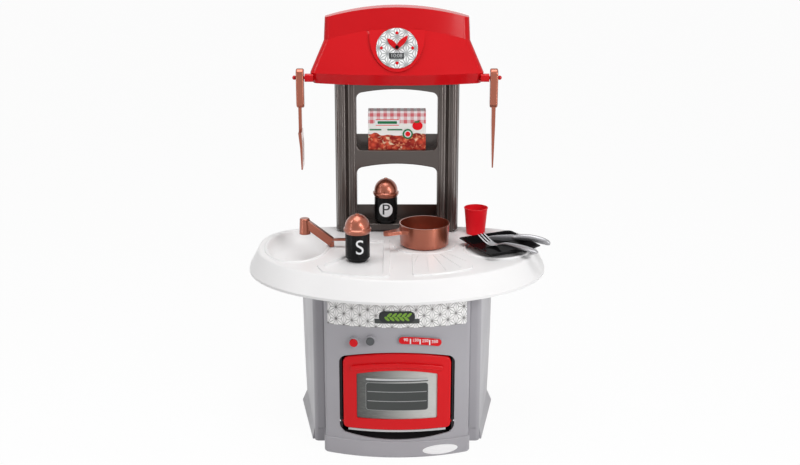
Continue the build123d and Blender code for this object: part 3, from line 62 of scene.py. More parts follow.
class Body(str, Enum):
    """Bodies that the added pieces ride on."""

    STAND = "stand"
    DOOR = "oven_door"
    SALT = "salt_shaker"
    PEPPER = "pepper_shaker"
    CARTON = "carton"
    FORK = "fork"
    TABLE_KNIFE = "table_knife"


class Nodes:
    """A node tree, with short calls for the nodes it is made of."""

    def __init__(self, tree: bpy.types.NodeTree) -> None:
        """Start with an empty tree.

        Args:
            tree: Tree of a material or of the world.
        """
        self.tree = tree
        self.tree.nodes.clear()

    def feed(self, node: bpy.types.Node, feeds: Feeds) -> None:
        """Link a node's inputs to sockets, or set their values.

        Args:
            node: The node.
            feeds: Its inputs by name or number, each with a socket or a plain value.
        """
        for key, value in feeds.items():
            if isinstance(value, Socket):
                self.tree.links.new(value, node.inputs[key])
            else:
                node.inputs[key].default_value = value

    def node(self, kind: str, feeds: Feeds | None = None, **settings: object) -> bpy.types.Node:
        """Add a node.

        Args:
            kind: Identifier of the node's type.
            feeds: Its inputs, as in feed.
            settings: Attributes to set on it.

        Returns:
            The new node.
        """
        made = self.tree.nodes.new(kind)
        for key, value in settings.items():
            setattr(made, key, value)
        self.feed(made, feeds or {})
        return made

    def sum(self, kind: str, first: object, second: object = 0.0, third: object = 0.0) -> Socket:
        """Work out one arithmetic step of a kind from up to three sockets or numbers."""
        return self.node("ShaderNodeMath", {0: first, 1: second, 2: third}, operation=kind).outputs[0]

    def span(self, value: Socket, low: float, high: float, to_low: float, to_high: float) -> Socket:
        """Map a value from the range low to high to the range to_low to to_high, clamped."""
        feeds = {0: value, 1: low, 2: high, 3: to_low, 4: to_high}
        return self.node("ShaderNodeMapRange", feeds, interpolation_type="SMOOTHSTEP").outputs[0]

    def seen(self) -> Socket:
        """Tell rays from the camera, off gloss or through glass from those that light matt surfaces.

        Returns:
            A socket that is 1 for the first and 0 for the others.
        """
        path = self.node("ShaderNodeLightPath")
        share = self.sum("MAXIMUM", path.outputs["Is Camera Ray"], path.outputs["Is Glossy Ray"])
        return self.sum("MAXIMUM", share, path.outputs["Is Transmission Ray"])


class Shader(Nodes):
    """Node tree of one material: its surface and the patterns that feed it."""

    def __init__(self, name: str) -> None:
        """Start a material with an output and a plastic or metal surface.

        Args:
            name: Name of the material.
        """
        self.material = bpy.data.materials.new(name)
        self.material.use_nodes = True
        super().__init__(self.material.node_tree)
        self.surface = self.node("ShaderNodeBsdfPrincipled")
        self.output = self.node("ShaderNodeOutputMaterial", {"Surface": self.surface.outputs["BSDF"]})
        self.place = self.node("ShaderNodeTexCoord").outputs["Object"]

    def finished(self, feeds: Feeds) -> Look:
        """Feed the surface and give the material."""
        self.feed(self.surface, feeds)
        return self.material

    def axes(self, source: Socket | None = None) -> tuple[Socket, ...]:
        """Split a place, or else the surface's own, into its X, Y and Z."""
        return tuple(self.node("ShaderNodeSeparateXYZ", {0: source or self.place}).outputs)

    def stretched(self, scale: Place, turn: Place = ORIGIN) -> Socket:
        """Scale the surface's place for a pattern, and turn it by degrees."""
        feeds = {"Vector": self.place, "Scale": scale, "Rotation": [math.radians(angle) for angle in turn]}
        return self.node("ShaderNodeMapping", feeds).outputs[0]

    def noise(self, scale: float, detail: float = 2.0, place: Socket | None = None) -> Socket:
        """Soft noise with features per metre and octaves, read at a place or else at the surface's own."""
        feeds = {"Vector": place or self.place, "Scale": scale, "Detail": detail}
        return self.node("ShaderNodeTexNoise", feeds).outputs["Fac"]

    def drift(self, scale: float, low: float, high: float) -> Socket:
        """Let a value wander between two limits over the surface, with some features per metre."""
        return self.span(self.noise(scale), NOISE_LOW, NOISE_HIGH, low, high)

    def cells(self, scale: float) -> bpy.types.Node:
        """Round cells, some per metre, each with its own colour and the distance from its middle."""
        return self.node("ShaderNodeTexVoronoi", {"Vector": self.place, "Scale": scale}, feature="F1")

    def blend(self, share: Socket, first: Colour | Socket, second: Colour | Socket) -> Socket:
        """Mix two colours by the share of the second."""
        first, second = [linear(colour) if isinstance(colour, tuple) else colour for colour in (first, second)]
        return self.node("ShaderNodeMix", {"Factor": share, 6: first, 7: second}, data_type="RGBA").outputs[2]

    def relief(self, height: Socket, depth: float, strength: float) -> None:
        """Raise the surface by a pattern from 0 to 1 of some depth in metres."""
        bump = self.node("ShaderNodeBump", {"Strength": strength, "Distance": depth, "Height": height})
        self.feed(self.surface, {"Normal": bump.outputs[0]})

    def leaves(self, across: Socket, up: Socket, spacing: float, squeeze: float) -> Socket:
        """Distance in metres to the nearest line of the traditional hemp-leaf pattern.

        The pattern is a lattice of triangles, each divided from its centre to its corners.

        Args:
            across: Place along the rows.
            up: Place across the rows.
            spacing: Distance between two stars in a column.
            squeeze: Width of the pattern over its true width.

        Returns:
            The distance's socket.
        """
        row = spacing * math.sqrt(3) / 2
        side = self.sum("DIVIDE", across, squeeze * row)
        rise = self.sum("DIVIDE", up, row)
        tilted = [self.sum("MULTIPLY", rise, math.sqrt(3) / 2 * sign) for sign in (1, -1)]
        half = self.sum("MULTIPLY", side, -0.5)
        lines = [side] + [self.sum("ADD", half, slope) for slope in tilted]
        parts = [self.sum("FRACT", line) for line in lines]
        total = self.sum("ADD", self.sum("ADD", parts[0], parts[1]), parts[2])
        flipped = self.sum("GREATER_THAN", total, 1.5)
        shares = [self.sum("ABSOLUTE", self.sum("SUBTRACT", flipped, part)) for part in parts]
        low, high = [self.sum(kind, self.sum(kind, *shares[:2]), shares[2]) for kind in ("MINIMUM", "MAXIMUM")]
        middle = self.sum("SUBTRACT", self.sum("SUBTRACT", 1.0, low), high)
        edge = self.sum("MULTIPLY", low, row)
        spoke = self.sum("MULTIPLY", self.sum("SUBTRACT", middle, low), row / math.sqrt(3))
        return self.sum("MINIMUM", edge, spoke)


def linear(colour: Colour) -> tuple[float, float, float, float]:
    """Turn a display colour of 0 to 255 into scene red, green, blue and alpha."""
    parts = [value / 255 for value in colour]
    return (*[p / 12.92 if p <= 0.04045 else ((p + 0.055) / 1.055) ** 2.4 for p in parts], 1.0)


@dataclass(frozen=True)
class Moulded:
    """Moulded plastic: slow colour drift, fine grain, and scuffs that dull the gloss."""

    name: str
    colour: Colour
    shade: Colour
    gloss: Pair
    specular: float
    scuff: float = 0.08
    drift_scale: float = 9.0
    haze_scale: float = 14.0
    scratch_scale: float = 160.0
    scratch_stretch: Place = (1.0, 1.0, 9.0)
    scratch_turn: Place = (17.0, 31.0, 0.0)
    scratch_reach: Pair = (0.58, 0.74)
    grain_scale: float = 900.0
    grain: float = 0.02 * MM
    grain_strength: float = 0.6

    def dress(self) -> Look:
        """Build the material.

        Returns:
            The material.
        """
        shader = Shader(self.name)
        path = shader.stretched(self.scratch_stretch, self.scratch_turn)
        scratches = shader.noise(self.scratch_scale, 4.0, path)
        scuffs = shader.span(scratches, *self.scratch_reach, 0.0, self.scuff)
        shader.relief(shader.noise(self.grain_scale), self.grain, self.grain_strength)
        return shader.finished({
            "Base Color": shader.blend(shader.drift(self.drift_scale, 0.0, 1.0), self.colour, self.shade),
            "Roughness": shader.sum("ADD", shader.drift(self.haze_scale, *self.gloss), scuffs),
            "Specular IOR Level": self.specular,
        })


@dataclass(frozen=True)
class Metallised:
    """Plastic with a satin metal finish: fine flakes under a thin lacquer."""

    name: str
    colour: Colour
    shade: Colour
    gloss: Pair
    metallic: float
    lacquer: float = 0.35
    lacquer_gloss: float = 0.2
    drift_scale: float = 12.0
    drift_share: float = 0.6
    haze_scale: float = 16.0
    flake_scale: float = 2600.0
    flake_share: float = 0.25
    flake: float = 0.004 * MM
    flake_strength: float = 0.25

    def dress(self) -> Look:
        """Build the material.

        Returns:
            The material.
        """
        shader = Shader(self.name)
        sparkle = shader.axes(shader.cells(self.flake_scale).outputs["Color"])[0]
        drift = shader.drift(self.drift_scale, 0.0, self.drift_share)
        share = shader.sum("MULTIPLY_ADD", sparkle, self.flake_share, drift)
        shader.relief(sparkle, self.flake, self.flake_strength)
        return shader.finished({
            "Base Color": shader.blend(share, self.colour, self.shade),
            "Roughness": shader.drift(self.haze_scale, *self.gloss),
            "Metallic": self.metallic,
            "Specular IOR Level": 0.5,
            "Coat Weight": self.lacquer,
            "Coat Roughness": self.lacquer_gloss,
        })


@dataclass(frozen=True)
class LeafPrint:
    """Film printed with the traditional hemp-leaf pattern."""

    name: str
    paper: Colour
    ink: Colour
    squeeze: float
    line: float
    origin: Place
    lean: float = 0.0
    spacing: float = 21.0 * MM
    gloss: float = 0.3
    ink_gloss: float = 0.45
    wear_scale: float = 240.0
    ink_depth: float = 0.04 * MM
    ink_edge: Pair = (0.3, 0.75)

    def dress(self) -> Look:
        """Build the material.

        Returns:
            The material.
        """
        shader = Shader(self.name)
        lean = (-math.radians(self.lean), 0.0, 0.0)
        feeds = {"Vector": shader.place, "Location": self.origin, "Rotation": lean}
        mapped = shader.node("ShaderNodeMapping", feeds, vector_type="TEXTURE")
        across, _, up = shader.axes(mapped.outputs[0])
        distance = shader.leaves(across, up, self.spacing, self.squeeze)
        solid, bare = self.ink_edge
        ink = shader.span(distance, self.line * solid, self.line * bare, 1.0, 0.0)
        worn = shader.span(shader.noise(self.wear_scale, 3.0), 0.25, NOISE_HIGH, 0.75, 1.0)
        shader.relief(ink, self.ink_depth, 0.4)
        return shader.finished({
            "Base Color": shader.blend(shader.sum("MULTIPLY", ink, worn), self.paper, self.ink),
            "Roughness": shader.span(ink, 0.0, 1.0, self.gloss, self.ink_gloss),
            "Specular IOR Level": 0.3,
        })


@dataclass(frozen=True)
class BrushedPanel:
    """Printed brushed-metal panel that brightens from one side to the other."""

    name: str
    dark: Colour
    bright: Colour
    left: float
    right: float
    streak_scale: float = 700.0
    streak_share: float = 0.35
    streak_depth: float = 0.02 * MM

    def dress(self) -> Look:
        """Build the material.

        Returns:
            The material.
        """
        shader = Shader(self.name)
        across = shader.axes()[0]
        streaks = shader.noise(self.streak_scale, 4.0, shader.stretched((0.03, 1.0, 1.0)))
        reach = shader.span(across, self.left, self.right, 0.0, 1.0)
        share = shader.sum("MULTIPLY_ADD", shader.sum("SUBTRACT", streaks, 0.5), self.streak_share, reach)
        shader.relief(streaks, self.streak_depth, 0.5)
        return shader.finished({
            "Base Color": shader.blend(share, self.dark, self.bright),
            "Roughness": shader.span(streaks, 0.3, 0.7, 0.32, 0.48),
            "Specular IOR Level": 0.3,
        })


@dataclass(frozen=True)
class CartonPrint:
    """Printed board: a checked cloth band over a white field and a heap of red rounds."""

    name: str
    band_low: float
    heap_high: float
    check: float = 12.5 * MM
    cloth_pale: Colour = (250, 242, 243)
    cloth_red: Colour = (214, 30, 52)
    sauce_bright: Colour = (224, 84, 58)
    sauce_dark: Colour = (140, 22, 18)
    strand: Colour = (238, 150, 108)
    cream: Colour = (244, 226, 190)
    board: Colour = (248, 246, 242)
    round_scale: float = 95.0
    heap_rough: float = 16.0 * MM
    fibre_depth: float = 0.03 * MM

    def cloth(self, shader: Shader, across: Socket, up: Socket) -> Socket:
        """Checks of two crossed rows of bars.

        Args:
            shader: The material's tree.
            across: Place across the carton.
            up: Place up the carton.

        Returns:
            The colour's socket.
        """
        bars = []
        for place in (across, up):
            wave = shader.sum("FRACT", shader.sum("DIVIDE", place, self.check))
            bars.append(shader.sum("LESS_THAN", wave, 0.5))
        share = shader.sum("MULTIPLY", shader.sum("ADD", bars[0], bars[1]), 0.42)
        return shader.blend(share, self.cloth_pale, self.cloth_red)

    def heap(self, shader: Shader) -> Socket:
        """Red rounds with pale strands and flecks of cream.

        Args:
            shader: The material's tree.

        Returns:
            The colour's socket.
        """
        depth = shader.span(shader.cells(self.round_scale).outputs["Distance"], 0.05, 0.8, 0.0, 1.0)
        sauce = shader.blend(depth, self.sauce_bright, self.sauce_dark)
        strands = shader.span(shader.noise(210.0, 3.0), 0.52, 0.66, 0.0, 0.75)
        sauce = shader.blend(strands, sauce, self.strand)
        patches = shader.noise(46.0, 2.0, shader.stretched((1.0, 1.0, 1.6)))
        flecks = shader.span(patches, 0.60, 0.66, 0.0, 0.85)
        return shader.blend(flecks, sauce, self.cream)

    def dress(self) -> Look:
        """Build the material.

        Returns:
            The material.
        """
        shader = Shader(self.name)
        across, _, up = shader.axes()
        foot = self.heap_high - self.heap_rough / 2
        tops = shader.sum("MULTIPLY_ADD", shader.noise(38.0, 1.0), self.heap_rough, foot)
        field = shader.blend(shader.sum("LESS_THAN", up, tops), self.board, self.heap(shader))
        in_band = shader.sum("GREATER_THAN", up, self.band_low)
        fibres = shader.noise(500.0, 3.0)
        shader.relief(fibres, self.fibre_depth, 0.5)
        return shader.finished({
            "Base Color": shader.blend(in_band, field, self.cloth(shader, across, up)),
            "Roughness": shader.span(fibres, 0.3, 0.7, 0.4, 0.55),
            "Specular IOR Level": 0.25,
        })


def ink(name: str, colour: Colour, shade: Colour) -> Moulded:
    """Plain printing ink with a name, a colour and its darker shade."""
    return Moulded(f"print_{name}", colour, shade, (0.35, 0.45), 0.3)


GREY_SHELL = Moulded("grey_shell_plastic", (176, 174, 179), (170, 168, 173), (0.28, 0.38), 0.35)
WHITE_TOP = Moulded("white_top_plastic", (243, 242, 242), (241, 240, 240), (0.30, 0.34), 0.3, 0.02)
RED_GLOSS = Moulded("red_gloss_plastic", (207, 18, 26), (202, 15, 23), (0.15, 0.20), 0.19, 0.04)
# Painted light: the hood's red made brighter for the door, the scale plate and the red button low on the base
# front
RED_PAINTED_LIGHT = Moulded("red_plastic_painted_light", (224, 21, 29), (219, 18, 26), (0.15, 0.20), 0.19, 0.04)
RED_CUP = Moulded("red_cup_plastic", (244, 30, 42), (238, 26, 38), (0.30, 0.42), 0.12)
DARK_CAVITY = Moulded("dark_cavity_plastic", (44, 42, 44), (38, 36, 38), (0.5, 0.65), 0.2)
BLACK_SATIN = Moulded("black_satin_plastic", (19, 18, 19), (16, 15, 16), (0.24, 0.32), 0.15)
BLACK_GLOSS = Moulded("black_gloss_plastic", (17, 16, 17), (14, 13, 14), (0.10, 0.15), 0.012)
BUTTON_GREY = Moulded("button_grey_plastic", (98, 100, 102), (90, 92, 94), (0.3, 0.4), 0.3)
# Silver for the printed window bar, and for the painted reflection strip under the door
SILVER_PRINT_AND_REFLECTION = Moulded("silver_print_and_painted_reflection", (206, 209, 209), (194, 197, 198), (0.25, 0.35), 0.4)
BADGE_WHITE = ink("badge_white", (254, 254, 254), (252, 252, 253))
PRINT_WHITE = ink("white", (244, 244, 246), (238, 238, 240))
PRINT_DARK = ink("dark", (74, 77, 76), (66, 69, 68))
PRINT_BLACK = ink("black", (48, 50, 51), (42, 44, 45))
PRINT_LINE = ink("line", (176, 178, 178), (166, 168, 168))
PRINT_GREEN = ink("green", (136, 178, 66), (112, 160, 50))
PRINT_LEAF = ink("leaf", (34, 132, 82), (26, 112, 66))
TAUPE = Metallised("taupe_metallised", (80, 71, 67), (74, 65, 61), (0.28, 0.34), 0.8, 0.8, 0.14)
COPPER = Metallised("copper_satin", (166, 92, 68), (156, 82, 60), (0.28, 0.34), 0.85, 0.8, 0.16)
CUTLERY = Metallised("cutlery_satin", (166, 166, 169), (156, 156, 159), (0.30, 0.36), 0.7)
STEEL = Metallised("screw_steel", (170, 170, 172), (150, 150, 152), (0.25, 0.35), 1.0)
WINDOW = BrushedPanel("window_brushed", (92, 94, 92), (206, 207, 203), -72.0 * MM, 74.0 * MM)
BAND_LEAVES = LeafPrint(
    "band_leaf_print", (250, 249, 248), (78, 76, 74), 0.753, 0.85 * MM, (5.0 * MM, 0.0, 3.0 * MM)
)


@dataclass
class Bench:
    """Working calls that every sub-assembly shares."""

    smooth_angle: float = 35.0
    sharp_angle: float = 60.0
    soft_steps: int = 3
    soft_share: float = 0.3
    oval_sides: int = 64
    corner_steps: int = 6
    sheet_strips: int = 24
    limb_sides: int = 12

    def clear(self) -> None:
        """Leave edit mode and deselect everything."""
        if bpy.context.object and bpy.context.object.mode != "OBJECT":
            bpy.ops.object.mode_set(mode="OBJECT")
        bpy.ops.object.select_all(action="DESELECT")

    def take(self, piece: Piece) -> None:
        """Select one piece alone and make it active.

        Args:
            piece: Object to select.
        """
        self.clear()
        piece.select_set(True)
        bpy.context.view_layer.objects.active = piece

    def fixed(self, piece: Piece) -> Piece:
        """Apply a piece's place, turn and scale to its mesh.

        Args:
            piece: Object to settle.

        Returns:
            The same object.
        """
        self.take(piece)
        bpy.ops.object.transform_apply(location=True, rotation=True, scale=True)
        return piece

    def moved(self, piece: Piece, place: Place) -> None:
        """Put a piece at a place in metres and settle it there."""
        piece.location = Vector(place)
        self.fixed(piece)

    def modified(self, piece: Piece, kind: str, **settings: object) -> Piece:
        """Add a modifier and apply it.

        Args:
            piece: Object to modify.
            kind: Type of the modifier.
            settings: Attributes of the modifier.

        Returns:
            The same object.
        """
        self.take(piece)
        modifier = piece.modifiers.new(kind.lower(), kind)
        for key, value in settings.items():
            setattr(modifier, key, value)
        bpy.ops.object.modifier_apply(modifier=modifier.name)
        return piece

    def softened(self, piece: Piece, width: float) -> None:
        """Round a piece's sharp edges by a width in metres."""
        limits = {"limit_method": "ANGLE", "angle_limit": math.radians(self.sharp_angle)}
        self.modified(piece, "BEVEL", width=width, segments=self.soft_steps, **limits)

    def carry(
        self, piece: Piece, name: str, body: Body, slot: str, look: Look, replaces: tuple[str, ...] = ()
    ) -> None:
        """Name, shade and dress a finished piece, and make it ride on its body.

        Args:
            piece: Finished object.
            name: Name of the piece.
            body: Body it rides on.
            slot: Material slot of the record, not used.
            look: Its material.
            replaces: CAD nodes that it stands for.
        """
        self.fixed(piece)
        piece.name = name
        piece.data.materials.clear()
        piece.data.materials.append(look)
        bpy.ops.object.shade_smooth_by_angle(angle=math.radians(self.smooth_angle))
        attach(piece, body.value)
        if replaces:
            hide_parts(*replaces)
        LOG.info("piece %s on %s, %d faces", name, body.value, len(piece.data.polygons))

    def rod(
        self, sides: int, radius: float, length: float, place: Place = ORIGIN, turn: Place = ORIGIN
    ) -> Piece:
        """Add a plain rod.

        Args:
            sides: Number of its sides.
            radius: Its radius in metres.
            length: Its length in metres.
            place: Its middle.
            turn: Its rotation in radians, from upright.

        Returns:
            The mesh object.
        """
        self.clear()
        bpy.ops.mesh.primitive_cylinder_add(
            vertices=sides, radius=radius, depth=length, location=place, rotation=turn
        )
        return bpy.context.object

    def written(self, words: str, size: float, depth: float, wide: float = 1.0, stroke: float = 0.0) -> Piece:
        """Write letters or numbers as a mesh that stands in the XZ plane and faces -Y, centred on the origin.

        Args:
            words: What is written.
            size: Letter height scale in metres.
            depth: Thickness in metres.
            wide: Width factor.
            stroke: Extra weight of the strokes, as a share of the size.

        Returns:
            The mesh object.
        """
        self.clear()
        bpy.ops.object.text_add(rotation=UPRIGHT)
        piece = bpy.context.object
        piece.data.body = words
        piece.data.size = size
        piece.data.extrude = depth / 2
        piece.data.align_x = "CENTER"
        piece.data.align_y = "CENTER"
        piece.data.offset = size * stroke
        piece.scale = (wide, 1.0, 1.0)
        self.take(piece)
        bpy.ops.object.convert(target="MESH")
        return self.fixed(bpy.context.object)

    def wrapped(self, piece: Piece, axis: Pair, radius: float) -> None:
        """Wrap a flat piece, drawn at Y = 0 and facing -Y, round an upright axis.

        Args:
            piece: Object to wrap, already at its height and at its place along X.
            axis: X and Y of the axis.
            radius: Radius at which Y = 0 lies.
        """
        for vertex in piece.data.vertices:
            angle = (vertex.co.x - axis[0]) / radius
            reach = radius - vertex.co.y
            vertex.co.x = axis[0] + reach * math.sin(angle)
            vertex.co.y = axis[1] - reach * math.cos(angle)

    def parted(self, piece: Piece, places: list[float]) -> None:
        """Cut a piece across X, so that it can follow a curve or change its section.

        Args:
            piece: Object to cut.
            places: Places of the cuts along X.
        """
        self.take(piece)
        bpy.ops.object.mode_set(mode="EDIT")
        for x in places:
            bpy.ops.mesh.select_all(action="SELECT")
            bpy.ops.mesh.bisect(plane_co=(x, 0.0, 0.0), plane_no=(1.0, 0.0, 0.0))
        bpy.ops.object.mode_set(mode="OBJECT")

    def sliced(self, piece: Piece, half: float, strips: int) -> None:
        """Cut a piece of a half width, centred on the origin, into upright strips of one width."""
        self.parted(piece, [2 * half * index / strips - half for index in range(1, strips)])

    def sheet(self, width: float, height: float, thick: float, corner: float | None) -> Piece:
        """Thin plate in the XZ plane that faces -Y, centred on the origin: a rounded rectangle or an oval.

        Args:
            width: Size along X in metres.
            height: Size along Z in metres.
            thick: Thickness in metres.
            corner: Corner radius in metres, or None for an oval.

        Returns:
            The mesh object.
        """
        self.clear()
        if corner is None:
            bpy.ops.mesh.primitive_circle_add(
                vertices=self.oval_sides, radius=0.5, fill_type="NGON", rotation=UPRIGHT
            )
        else:
            bpy.ops.mesh.primitive_plane_add(size=1.0, rotation=UPRIGHT)
        piece = bpy.context.object
        piece.scale = (width, height, 1.0)
        self.fixed(piece)
        if corner:
            bpy.ops.object.mode_set(mode="EDIT")
            bpy.ops.mesh.select_all(action="SELECT")
            bpy.ops.mesh.bevel(affect="VERTICES", offset=corner, segments=self.corner_steps)
            bpy.ops.object.mode_set(mode="OBJECT")
        self.modified(piece, "SOLIDIFY", thickness=thick, offset=1.0)
        self.sliced(piece, width / 2, self.sheet_strips)
        self.softened(piece, thick * self.soft_share)
        return piece

    def limb(self, *stations: tuple[float, float, float, float, float]) -> Piece:
        """Rounded bar along X whose section changes from station to station.

        Args:
            stations: Place along X, offset along Y and Z, half width and half height, in millimetres.

        Returns:
            The mesh object.
        """
        rows = [[value * MM for value in station] for station in stations]
        start, end = rows[0][0], rows[-1][0]
        middle = ((start + end) / 2, 0.0, 0.0)
        piece = self.rod(self.limb_sides, 1.0, end - start, middle, (0.0, math.pi / 2, 0.0))
        self.fixed(piece)
        self.parted(piece, [row[0] for row in rows[1:-1]])
        for vertex in piece.data.vertices:
            row = min(rows, key=lambda row: abs(row[0] - vertex.co.x))
            vertex.co.y = row[1] + vertex.co.y * row[3]
            vertex.co.z = row[2] + vertex.co.z * row[4]
        return self.modified(piece, "SUBSURF", levels=2)

    def joined(self, pieces: list[Piece], grain: float) -> Piece:
        """Join overlapping pieces into one closed skin.

        Args:
            pieces: Objects to join.
            grain: Size of the skin's faces in metres.

        Returns:
            The joined object.
        """
        self.take(pieces[0])
        for piece in pieces[1:]:
            piece.select_set(True)
        bpy.ops.object.join()
        piece = bpy.context.object
        self.modified(piece, "REMESH", mode="VOXEL", voxel_size=grain)
        return self.modified(piece, "SMOOTH", factor=0.5, iterations=4)


def dress_nodes(look: Look, *names: str) -> None:
    """Give CAD nodes a finish.

    Args:
        look: The material.
        names: Names of the nodes.
    """
    for name in names:
        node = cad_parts[name]
        for slot in node.material_slots:
            slot.material = look
        LOG.info("node %s dressed in %s", name, look.name)


@dataclass
class BowedFront(Bench):
    """Calls for what lies on the base's bowed front."""

    bow_radius: float = 330.04 * MM
    bow_front: float = -148.0 * MM

    def on_bow(self, piece: Piece, x: float, z: float, proud: float) -> None:
        """Put a flat piece, drawn at the origin, on the bowed front, its back proud of the surface."""
        self.moved(piece, (x, 0.0, z))
        self.wrapped(piece, (0.0, self.bow_front + self.bow_radius), self.bow_radius + proud)


@dataclass
class Base(BowedFront):
    """Grey base: shell, panels, printed band, plaque, controls and the blank badge."""

    control_z: float = 223.0 * MM
    droop: float = 360.0 * MM
    scale_proud: float = 5.4 * MM
    scale_pitch: float = 16.6 * MM
    numbers: tuple[str, ...] = ("90", "150", "250", "350")
    number_size: float = 7.6 * MM
    number_thick: float = 0.25 * MM
    number_stroke: float = 0.008
    number_start: float = 15.1 * MM
    number_rise: float = 1.4 * MM
    tick_size: Pair = (2.2 * MM, 9.5 * MM)
    tick_start: float = 22.9 * MM
    tick_rise: float = -1.0 * MM
    band_proud: float = 0.65 * MM
    film: float = 0.3 * MM
    plaque_z: float = 264.0 * MM
    plaque_thick: float = 0.5 * MM
    leaves: int = 10
    leaf_size: Pair = (10.5 * MM, 4.4 * MM)
    leaf_start: float = -17.0 * MM
    leaf_pitch: float = 4.2 * MM
    leaf_rise: float = 3.6 * MM
    leaf_lean: float = 38.0
    badge_place: Pair = (77.0 * MM, 13.0 * MM)
    badge_size: Pair = (64.0 * MM, 18.0 * MM)
    badge_proud: float = 2.5 * MM

    def build(self) -> None:
        """Dress the base's nodes and add what is printed or stuck on it."""
        dress_nodes(GREY_SHELL.dress(), "front_shell", "side_panel_right", "side_panel_left", "panel_clips")
        dress_nodes(DARK_CAVITY.dress(), "oven_cavity")
        dress_nodes(BAND_LEAVES.dress(), "fascia_band")
        dress_nodes(RED_PAINTED_LIGHT.dress(), "scale_plate", "button_red")
        dress_nodes(BUTTON_GREY.dress(), "button_grey")
        self.scale_print()
        self.plaque()
        badge = self.sheet(*self.badge_size, self.film, None)
        self.on_bow(badge, *self.badge_place, self.badge_proud)
        self.stuck(badge, "blank_badge", BADGE_WHITE.dress())

    def stuck(self, piece: Piece, name: str, look: Look) -> None:
        """Make a finished print ride on the stand."""
        self.carry(piece, name, Body.STAND, "printed_band", look)

    def scale_print(self) -> None:
        """Numbers and ticks of the temperature scale, along its arc."""
        white = PRINT_WHITE.dress()
        for index, words in enumerate(self.numbers):
            piece = self.written(words, self.number_size, self.number_thick, stroke=self.number_stroke)
            self.on_scale(piece, self.number_start + self.scale_pitch * index, self.number_rise)
            self.stuck(piece, f"scale_number_{words}", white)
        for index in range(len(self.numbers) - 1):
            piece = self.sheet(*self.tick_size, self.number_thick, 0.0)
            self.on_scale(piece, self.tick_start + self.scale_pitch * index, self.tick_rise)
            self.stuck(piece, f"scale_tick_{index}", white)

    def on_scale(self, piece: Piece, x: float, rise: float) -> None:
        """Lay a flat piece on the scale, at a rise over its drooping arc."""
        self.on_bow(piece, x, self.control_z - x**2 / (2 * self.droop) + rise, self.scale_proud)

    def plaque(self) -> None:
        """Dark plaque on the band with a sprig of leaves."""
        green = PRINT_GREEN.dress()
        top = self.band_proud + self.plaque_thick
        # Name, size, corner and rise in millimetres, thickness and distance out in metres, look
        plates = (
            ("plaque_wings", (77.0, 8.4), 2.0, -7.98, self.film, self.band_proud, PRINT_DARK.dress()),
            ("plaque", (61.6, 21.0), 9.66, 0.0, self.plaque_thick, self.band_proud, PRINT_BLACK.dress()),
            ("plaque_stem", (42.0, 0.9), 0.3, 0.0, self.film, top, green),
        )
        for name, (width, height), corner, rise, thick, proud, look in plates:
            plate = self.sheet(width * MM, height * MM, thick, corner * MM)
            self.on_bow(plate, 0.0, self.plaque_z + rise * MM, proud)
            self.stuck(plate, name, look)
        for index in range(self.leaves):
            side = 1 if index % 2 else -1
            leaf = self.sheet(*self.leaf_size, self.film, None)
            leaf.rotation_euler = (0.0, math.radians(-self.leaf_lean * side), 0.0)
            self.fixed(leaf)
            x = self.leaf_start + self.leaf_pitch * index
            self.on_bow(leaf, x, self.plaque_z + side * self.leaf_rise, top)
            self.stuck(leaf, f"plaque_leaf_{index}", green)


@dataclass
class OvenDoor(BowedFront):
    """Red door, its printed window and a silver strip under it that is a painted reflection along the oven
    opening's lower edge.
    """

    pane_back: float = -0.85 * MM
    reflection_strip_back: float = -1.0 * MM

    def build(self) -> None:
        """Dress the door, add the window's bar and grille, and add the painted reflection strip under the
        door.
        """
        dress_nodes(RED_PAINTED_LIGHT.dress(), "door_frame")
        dress_nodes(WINDOW.dress(), "door_window")
        line, dark, silver = PRINT_LINE.dress(), PRINT_DARK.dress(), SILVER_PRINT_AND_REFLECTION.dress()
        # Name, size, height, corner and thickness in millimetres, distance out in metres, look
        plates = (
            ("grille_outline", (109.0, 52.0), 115.5, 5.5, 0.2, self.pane_back, line),
            ("grille_panel", (107.6, 50.6), 115.5, 5.0, 0.35, self.pane_back, dark),
            ("grille_line_low", (103.0, 1.2), 107.0, 0.4, 0.5, self.pane_back, line),
            ("grille_line_high", (103.0, 1.2), 124.6, 0.4, 0.5, self.pane_back, line),
            ("window_bar_shade", (108.0, 3.0), 145.1, 1.4, 0.3, self.pane_back, dark),
            ("window_bar", (108.0, 3.8), 147.7, 1.8, 1.2, self.pane_back, silver),
            # Painted reflection: silver strip under the door that stands for the shine along the oven
            # opening's lower edge
            ("door_painted_reflection_strip", (172.0, 3.8), 50.9, 0.4, 1.0, self.reflection_strip_back, silver),
        )
        for name, (width, height), up, corner, thick, proud, look in plates:
            plate = self.sheet(width * MM, height * MM, thick * MM, corner * MM)
            self.on_bow(plate, 0.0, up * MM, proud)
            self.carry(plate, name, Body.DOOR, "window_grille", look)


@dataclass
class Worktop(Bench):
    """White oval top and the tap."""

    def build(self) -> None:
        """Dress the top and the tap."""
        dress_nodes(WHITE_TOP.dress(), "worktop")
        dress_nodes(COPPER.dress(), "tap_spout", "tap_lever")
        dress_nodes(BLACK_SATIN.dress(), "tap_nut")


